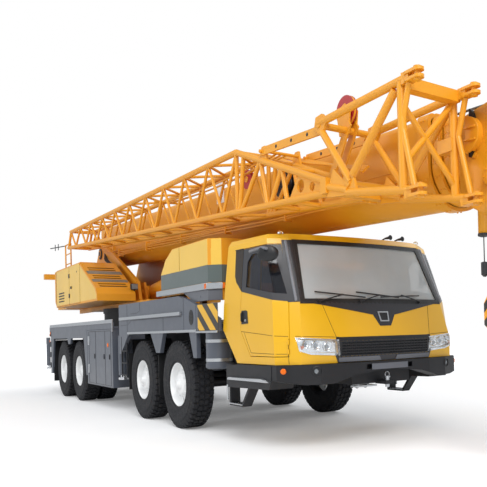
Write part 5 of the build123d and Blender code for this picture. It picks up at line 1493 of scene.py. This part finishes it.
def boom_side_dress():
    """Blank plate, hose reel, hoses, hangers, weld lines and pin caps of the base section."""
    plate, reel, hose, steps, weld = blanks(5)
    prism(plate, [(x, -0.4005, z) for x, z in ((0.94, 3.32), (1.2, 3.31), (1.2, 3.66), (0.94, 3.67))],
        (0, -0.004, 0))
    centre = Vector((3.17, -0.4, 3.2))
    knob(reel, centre, (0, -1, 0), ((-0.01, 0.19), (0.006, 0.205), (0.018, 0.205), (0.022, 0.17),
        (0.022, 0.11), (0.04, 0.105), (0.09, 0.1), (0.094, 0.19), (0.106, 0.19), (0.11, 0.06),
        (0.12, 0.05)), 40)
    for k, (n, y) in enumerate(((0.0, -0.442), (-0.035, -0.448), (-0.07, -0.452), (-0.105, -0.446))):
        tube(hose, [on_boom(s, n + 0.012 * sin(s * 1.9 + k), y - 0.006 * cos(s * 2.3 + k))
            for s in (0.6 + 0.42 * i for i in range(25))], 0.013, 8)
    for s in (1.2, 3.0, 4.8, 6.6, 8.4, 10.2):
        boom_brick(steps, s - 0.02, s + 0.02, -0.135, 0.045, -0.47, -0.365)
    for s in (2.0, 4.6, 7.2, 9.6):
        boom_brick(steps, s - 0.05, s + 0.05, 0.6, 0.64, -0.11, -0.05)
        boom_brick(steps, s - 0.05, s + 0.05, 0.6, 0.64, 0.05, 0.11)
        boom_brick(steps, s - 0.05, s + 0.05, 0.604, 0.614, -0.11, 0.11)
    for side in (-1, 1):
        tube(weld, [on_boom(s, 0.14, side * 0.4) for s in (0.75, 5.5, 10.94)], 0.006, 6)
    settle_all("boom_base", ("boom_blank_plate", plate, WHEEL_WHITE, 0.001), ("hose_reel", reel, GASKET),
        ("boom_hoses", hose, CRANE_YELLOW), ("boom_hangers", steps, CRANE_YELLOW, 0.004),
        ("boom_weld_lines", weld, CRANE_YELLOW))
    caps = bmesh.new()
    for side in (-1, 1):
        knob(caps, (0.6, side * 0.22, 2.555), (0, side, 0), ((-0.01, 0.075), (0.012, 0.075), (0.016, 0.06)),
            24)
    for side in (-1, 1):
        turned(caps, (-5.25, side * 0.437, 3.2), (0, side, 0), ((-0.002, 0.085), (-0.002, 0.12),
            (0.008, 0.115), (0.008, 0.085)), 32)
    settle("boom_pin_caps", caps, DARK_STEEL, "boom_base")


def hoist_rope():
    """The hoist rope from the winch over the boom to the head; a plain rope piece spans each joint."""
    lane_y, rope_r, top = -0.08, 0.0105, 0.655
    winch = Vector((-6.15, lane_y, 2.776))
    roller = on_boom(-0.3, 0.652, lane_y)
    lead = bmesh.new()
    tube(lead, [winch.lerp(roller, k / 24) for k in range(25)], rope_r, 12, lobes=6, lay=0.12)
    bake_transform(plain_piece("hoist_rope_lead", lead))
    settle("hoist_rope_run", made(tube, (roller, on_boom(11.03, top, lane_y)), rope_r, 12, lobes=6,
        lay=0.2), STEEL_ROPE, "boom_base")
    bodies = [entry[0] for entry in COLLARS]
    stops = (11.03, 11.17, 11.2875, 11.4, 11.5075)
    for number, (one, two) in enumerate(zip(bodies, bodies[1:]), start=2):
        start, end = on_boom(stops[number - 2], top, lane_y), on_boom(stops[number - 1], top, lane_y)
        span = bmesh.new()
        tube(span, [start.lerp(end, k / 16) for k in range(17)], rope_r, 12, lobes=6, lay=0.0)
        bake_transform(plain_piece(f"hoist_rope_span_{number}", span))
    tip = bmesh.new()
    path = [on_boom(stops[-1], top, lane_y), on_boom(12.4, 0.657, -0.065)]
    for k in range(12):
        t = pi / 2 + 0.1 - (pi + 0.15) * k / 11
        path.append(on_boom(12.5 + 0.178 * cos(t), 0.48 + 0.178 * sin(t), -0.065))
    path.append(on_boom(11.88 + 0.2265, -0.1 + 0.02, -0.065))
    tube(tip, path, rope_r, 12, lobes=6, lay=0.2)
    settle("hoist_rope_tip", tip, STEEL_ROPE, "boom_head")
    rollers = bmesh.new()
    for s in (-0.3, 3.4, 7.1, 10.85):
        for y in (-0.22, 0.22):
            boom_brick(rollers, s - 0.05, s + 0.05, 0.592, 0.66, y - 0.01, y + 0.01)
        middle = on_boom(s, 0.622, 0)
        knob(rollers, middle - Vector((0, 0.21, 0)), (0, 1, 0), ((0, 0.022), (0.42, 0.022)), 16)
    settle("rope_rollers", rollers, CRANE_YELLOW, "boom_base", 0.003)


def plain_piece(name, work):
    """A rope piece: a mesh with no body of its own."""
    mesh = mesh_of(name, work)
    mesh.materials.append(STEEL_ROPE)
    mesh.shade_smooth()
    return placed(name, mesh)


def head_skin():
    """The head's own skin without the low half-moon on its right cheek, closed where it stood."""
    work = bmesh.new()
    work.from_mesh(NODES["boom_head"].data)
    bmesh.ops.remove_doubles(work, verts=work.verts, dist=2e-5)

    def on_low_moon(vert):
        reach = vert.co - BOOM_PIN
        s, n = reach.dot(BOOM_DIR), reach.dot(BOOM_UP)
        return vert.co.y < -0.3705 and 11.64 < s < 11.84 and -0.36 < n < 0.0

    gone = [face for face in work.faces if any(on_low_moon(vert) for vert in face.verts)]
    bmesh.ops.delete(work, geom=gone, context="FACES")
    rims = [edge for edge in work.edges if len(edge.link_faces) == 1]
    bmesh.ops.holes_fill(work, edges=rims, sides=0)
    loose = [vert for vert in work.verts if not vert.link_faces]
    bmesh.ops.delete(work, geom=loose, context="VERTS")
    piece = settle("boom_head_skin", work, CRANE_YELLOW, "boom_head")
    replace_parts(piece, "boom_head")
    return piece


def head_dress():
    """Pin caps, rope keepers, half-moon guard with its dark sheave, blank plate, limit weight and lamp."""
    caps, keepers, sheaves, plate, weight, holes = blanks(6)
    for s, n in ((11.88, -0.1), (12.5, 0.48)):
        for side in (-1, 1):
            knob(caps, on_boom(s, n, side * 0.399), (0, side, 0),
                ((-0.01, 0.085), (0.008, 0.085), (0.014, 0.07)), 30)
            for k in range(6):
                t = pi * k / 3
                knob(caps, on_boom(s + 0.066 * cos(t), n + 0.066 * sin(t), side * 0.412), (0, side, 0),
                    ((0, 0.009), (0.006, 0.009)), 6, tip=0.007)
    for s, n in ((12.2, 0.03), (12.72, 0.3), (11.66, 0.12), (12.28, 0.65)):
        round_bar(keepers, on_boom(s, n, -0.372), on_boom(s, n, 0.372), 0.016, 12)
        for side in (-1, 1):
            knob(keepers, on_boom(s, n, side * 0.37), (0, side, 0), ((-0.004, 0.03), (0.008, 0.03)), 6,
                tip=0.01)
    disc = [on_boom(11.625 + max(0, 0.215 * cos(t)) * 0.33, 0.318 + 0.215 * sin(t), -0.371)
        for t in (-pi / 2 + pi * k / 20 for k in range(21))]
    prism(sheaves, disc, (0, -0.036, 0))
    moon = bmesh.new()
    ring = [on_boom(11.6 + 0.165 * cos(t), 0.3 + 0.165 * sin(t), -0.366)
        for t in (-pi / 2 + pi * k / 24 for k in range(25))]
    prism(moon, ring, (0, -0.066, 0))
    for rise in (-0.055, 0.055):
        boom_brick(moon, 11.6, 11.735, 0.3 + rise - 0.008, 0.3 + rise + 0.008, -0.452, -0.43)
    settle("half_moon_guard", moon, CRANE_YELLOW, "boom_head", 0.003)
    head_skin()
    prism(plate, [on_boom(s, n, -0.3705) for s, n in ((12.16, 0.33), (12.31, 0.33), (12.31, 0.46),
        (12.16, 0.46))], (0, -0.004, 0))
    tube_foot = on_boom(11.7, -0.33, -0.3)
    knob(weight, (tube_foot.x, tube_foot.y, tube_foot.z - 0.262), (0, 0, -1),
        ((-0.01, 0.053), (0.012, 0.053), (0.02, 0.03)), 24)
    round_bar(weight, (tube_foot.x, tube_foot.y, tube_foot.z - 0.27),
        (tube_foot.x, tube_foot.y, tube_foot.z - 0.5), 0.005, 8)
    turned(weight, (tube_foot.x, tube_foot.y, tube_foot.z - 0.5), (0, 0, -1),
        ((0, 0), (0.01, 0.032), (0.12, 0.032), (0.14, 0.012), (0.141, 0)), 20)
    # dark discs laid on the right cheek: painted shade standing for holes in the head
    for s, n in ((12.03, 0.12), (12.05, -0.2)):
        knob(holes, on_boom(s, n, -0.3705), (0, -1, 0), ((-0.001, 0.03), (0.002, 0.028)), 24, tip=0.0022)
    settle_all("boom_head", ("head_pin_caps", caps, CRANE_YELLOW), ("rope_keepers", keepers, CRANE_YELLOW),
        ("side_sheave_face", sheaves, GASKET), ("head_blank_plate", plate, WHEEL_WHITE, 0.001),
        ("hoist_limit_weight", weight, DARK_STEEL), ("head_holes", holes, GASKET))
    light, lens = blanks(2)
    knob(light, on_boom(12.58, 0.66, 0.2), BOOM_UP, ((0, 0.03), (0.05, 0.03)), 18)
    knob(lens, on_boom(12.58, 0.71, 0.2), BOOM_UP, ((-0.002, 0.028), (0.04, 0.026), (0.06, 0.012)), 18,
        tip=0.061)
    settle_all("boom_head", ("head_lamp_foot", light, BLACK_PLASTIC), ("head_lamp", lens, RED_LENS))


# ------------------------------------------------------------------ stowed jib
def jib_dress():
    """Red guide sheaves, dark discs painted as the shade in the stay-bar holes, pin heads, pendants, hoses
    and nose gussets of the stowed jib.
    """
    red, holes, pins, hoses = blanks(4)
    for (x, y, z), r, half in (((5.165, -0.88, 3.5), 0.1505, 0.0235), ((2.93, -0.858, 3.258), 0.12, 0.022)):
        turned(red, (x, y, z), (0, 1, 0), ((-half, 0.03), (-half, r + 0.002), (-half * 0.55, r + 0.002),
            (0, r - 0.016), (half * 0.55, r + 0.002), (half, r + 0.002), (half, 0.03)), 44)
        for side in (-1, 1):
            knob(pins, (x, y + side * half, z), (0, side, 0), ((-0.01, 0.042), (0.008, 0.04),
                (0.012, 0.022)), 20)
    # dark discs laid on both faces of each chord: painted shade standing for the stay-bar holes
    for y in (-1.168, -0.592):
        for x, z in ((4.573, 3.307), (4.891, 3.288), (4.25, 3.322)):
            for side in (-1, 1):
                knob(holes, (x, y + side * 0.0122, z), (0, side, 0), ((-0.001, 0.02), (0.0015, 0.019)), 20,
                    tip=0.0016)
    for y in (-1.2, -0.56):
        for x, z in ((5.165, 3.315), (5.63, 2.655)):
            for side in (-1, 1):
                knob(pins, (x, y + side * 0.016, z), (0, side, 0), ((-0.004, 0.04), (0.01, 0.038),
                    (0.013, 0.02)), 20)
        for z in (3.3415, 2.4105):
            for up in (1, -1):
                knob(pins, (6.605, y, z + up * 0.048), (0, 0, up), ((-0.01, 0.034), (0.01, 0.032),
                    (0.014, 0.015)), 18)
    for y, sag in ((-1.0, 0.05), (-0.94, 0.07), (-0.88, 0.04)):
        start, end = Vector((3.95, y, 3.335)), Vector((0.3, y, 3.4))
        tube(hoses, [start.lerp(end, k / 14) - Vector((0, 0, sag * sin(pi * k / 14))) for k in range(15)],
            0.012, 8)
    for k, y in enumerate((-0.62, -0.645, -0.665, -0.69)):
        tube(hoses, ((2.75, y, 3.56 - 0.02 * k), (3.4, y, 3.48), (4.0, y, 3.3 - 0.015 * k), (4.6, y, 3.11),
            (5.16, y, 2.98 - 0.02 * k)), 0.013, 8, 0.3)
    plates = bmesh.new()
    for y in (-1.2, -0.56):
        side_plate(plates, ((5.394, 2.834), (5.647, 2.622), (5.627, 2.543), (5.279, 2.581), (5.319, 2.693)),
            y - 0.016, y + 0.016)
        knob(plates, (5.56, y, 2.605), (0, 1, 0), ((-0.026, 0.022), (0.026, 0.022)), 16)
    for y in (-0.925, -0.835):
        side_plate(plates, ((5.24, 3.4), (5.3, 3.32), (4.98, 2.86), (4.88, 2.88)), y - 0.01, y + 0.01)
    settle("jib_nose_gussets", plates, CRANE_YELLOW, "boom_base", 0.003)
    for x in (3.95, 0.3):
        round_bar(hoses, (x, -1.16, 3.34 if x > 1 else 3.4), (x, -0.71, 3.34 if x > 1 else 3.4), 0.018, 10)
    settle_all("boom_base", ("jib_red_sheaves", red, SHEAVE_RED), ("stay_bar_holes", holes, GASKET),
        ("jib_pins", pins, CRANE_YELLOW), ("jib_pendants", hoses, CRANE_YELLOW))


# ------------------------------------------------------------------ hook block
def hook_dress():
    """Striped cheeks, red sheaves, steel falls, the latch and the nut of the hook block."""
    x = (BOOM_PIN + BOOM_DIR * 11.88 - BOOM_UP * 0.1).x
    falls, black, sheave, latch = blanks(4)
    top = (BOOM_PIN + BOOM_DIR * 11.88 - BOOM_UP * 0.1).z - 0.251
    for y in (-0.13, 0, 0.13):
        for dx in (-0.206, 0.206):
            tube(falls, ((x + dx, y, 1.44), (x + dx, y, top)), 0.0118, 12, lobes=6, lay=0.16)
        turned(sheave, (x, y, 1.43), (0, 1, 0), ((-0.0305, 0.06), (-0.0305, 0.2365), (-0.02, 0.2365),
            (0, 0.204), (0.02, 0.2365), (0.0305, 0.2365), (0.0305, 0.06)), 48)
    for y, side in ((-0.215, -1), (0.215, 1)):
        low, high = sorted((y, y + side * 0.003))
        for k in range(-3, 4):
            ring = [(x - 0.3 + 0.155 * k, 1.2), (x - 0.22 + 0.155 * k, 1.2), (x + 0.24 + 0.155 * k, 1.66),
                (x + 0.16 + 0.155 * k, 1.66)]
            ring = in_cheek(ring, x)
            if len(ring) > 2:
                side_plate(black, ring, low, high)
    knob(latch, (x, 0, 1.235), (0, 0, 1), ((-0.01, 0.085), (0.05, 0.085), (0.06, 0.075)), 24)
    knob(latch, (x, 0, 1.118), (0, 0, -1), ((-0.01, 0.075), (0.03, 0.075), (0.04, 0.06)), 24)
    side_plate(latch, ((x - 0.055, 0.965), (x - 0.035, 0.975), (x + 0.085, 0.845), (x + 0.07, 0.835)),
        -0.012, 0.012)
    settle_all("hook_block", ("hoist_falls", falls, STEEL_ROPE),
        ("hook_block_stripes", black, HAZARD_BLACK, 0, False), ("hook_block_sheaves", sheave, SHEAVE_RED),
        ("hook_latch", latch, DARK_STEEL))


def in_cheek(ring, x):
    """Clips an outline to the cheek of the hook block, side by side."""
    cheek = [(x + dx, z) for dx, z in ((-0.198, 1.658), (-0.288, 1.529), (-0.288, 1.331), (-0.149, 1.202),
        (0.149, 1.202), (0.288, 1.331), (0.288, 1.529), (0.198, 1.658))]
    for (ax, az), (bx, bz) in zip(cheek, cheek[1:] + cheek[:1]):
        kept = []
        depth = lambda p: (bx - ax) * (p[1] - az) - (bz - az) * (p[0] - ax)
        for p, q in zip(ring, ring[1:] + ring[:1]):
            dp, dq = depth(p), depth(q)
            if dp >= 0:
                kept.append(p)
            if (dp >= 0) != (dq >= 0):
                t = dp / (dp - dq)
                kept.append((p[0] + (q[0] - p[0]) * t, p[1] + (q[1] - p[1]) * t))
        ring = kept
        if not ring:
            return ring
    return ring


# ------------------------------------------------------------------ studio
SKY_COLOUR = (0.93, 0.96, 1, 1)
SKY_STRENGTH = 0.62
# name, place, what it shines at, width and power
LAMPS = (("key_lamp", (17, -7, 14), (0, 0, 1.5), 10, 2350), ("side_lamp", (-6, -17, 10), (-1, 0, 1.5), 12,
    950), ("back_lamp", (2, 16, 12), (0, 0, 2), 12, 700))
CAMERA_PLACE = (10.5121, -4.6553, 1.3115)
CAMERA_RIGHT = (0.60906, 0.7927, -0.02559)
CAMERA_UP = (0.0238, 0.01399, 0.99962)
CAMERA_BACK = (0.79276, -0.60944, -0.01035)


def studio():
    """Pale floor, soft lamps, a white surround, and the camera low at the right front corner."""
    scene = bpy.context.scene
    scene.view_settings.view_transform = "Standard"
    world = bpy.data.worlds.new("surround")
    scene.world = world
    world.use_nodes = True
    tree = world.node_tree
    tree.nodes.clear()
    rays = tree.nodes.new("ShaderNodeLightPath").outputs
    seen = add_node(tree, "ShaderNodeMath", 0, {0: rays["Is Camera Ray"], 1: rays["Is Transmission Ray"]},
        operation="MAXIMUM")
    glow = add_node(tree, "ShaderNodeBackground", 0, {"Color": SKY_COLOUR, "Strength": SKY_STRENGTH})
    white = add_node(tree, "ShaderNodeBackground", 0, {"Color": (1, 1, 1, 1)})
    surround = add_node(tree, "ShaderNodeMixShader", 0, {0: seen, 1: glow, 2: white})
    tree.links.new(surround, tree.nodes.new("ShaderNodeOutputWorld").inputs["Surface"])

    floor_finish, tree, shader = new_finish("studio_floor")
    pale = blend_colours(tree, speckle(tree, 0.8, 3), (0.93, 0.93, 0.93), (0.96, 0.96, 0.96))
    tree.links.new(pale, shader.inputs["Base Color"])
    shader.inputs["Roughness"].default_value = 0.95
    shader.inputs["Specular IOR Level"].default_value = 0.0
    shader.inputs["Emission Color"].default_value = (1, 1, 1, 1)
    # far floor fades to white for the camera alone
    place = add_node(tree, "ShaderNodeTexCoord", "Object", {})
    away = add_node(tree, "ShaderNodeVectorMath", "Value", {0: place}, operation="LENGTH")
    rise = ramp(tree, away, 8, 22, 0.14, 0.9)
    seen = add_node(tree, "ShaderNodeLightPath", "Is Camera Ray", {})
    lift = add_node(tree, "ShaderNodeMath", 0, {0: seen, 1: rise}, operation="MULTIPLY")
    tree.links.new(lift, shader.inputs["Emission Strength"])
    grid = bmesh.new()
    bmesh.ops.create_grid(grid, x_segments=4, y_segments=4, size=150)
    mesh = bpy.data.meshes.new("studio_floor")
    grid.to_mesh(mesh)
    grid.free()
    mesh.materials.append(floor_finish)
    floor = placed("studio_floor", mesh)

    for name, place, target, size, power in LAMPS:
        lamp = bpy.data.lights.new(name, "AREA")
        lamp.shape = "DISK"
        lamp.size = size
        lamp.energy = power
        holder = placed(name, lamp)
        holder.location = place
        holder.rotation_euler = (Vector(target) - Vector(place)).to_track_quat("-Z", "Y").to_euler()

    lens = bpy.data.cameras.new("camera")
    lens.sensor_width = 36
    lens.lens = 48.56
    lens.shift_x = -0.2776
    lens.shift_y = 0.1627
    lens.clip_end = 400
    camera = placed("camera", lens)
    columns = zip(CAMERA_RIGHT, CAMERA_UP, CAMERA_BACK, CAMERA_PLACE)
    camera.matrix_world = Matrix((*columns, (0, 0, 0, 1)))
    scene.camera = camera


for make in (wheels, cab_glazing, cab_front, grille_comb, headlamps, cab_fittings, cab_inside, bumper_trim,
        front_side, tool_box_doors, rear_side, deck_gear, hood_dress, house_dress, stern_dress, bolt_ring,
        winch_ropes, operator_panes, operator_inside, boom_collars, boom_side_dress, hoist_rope, head_dress,
        jib_dress, hook_dress, studio):
    make()
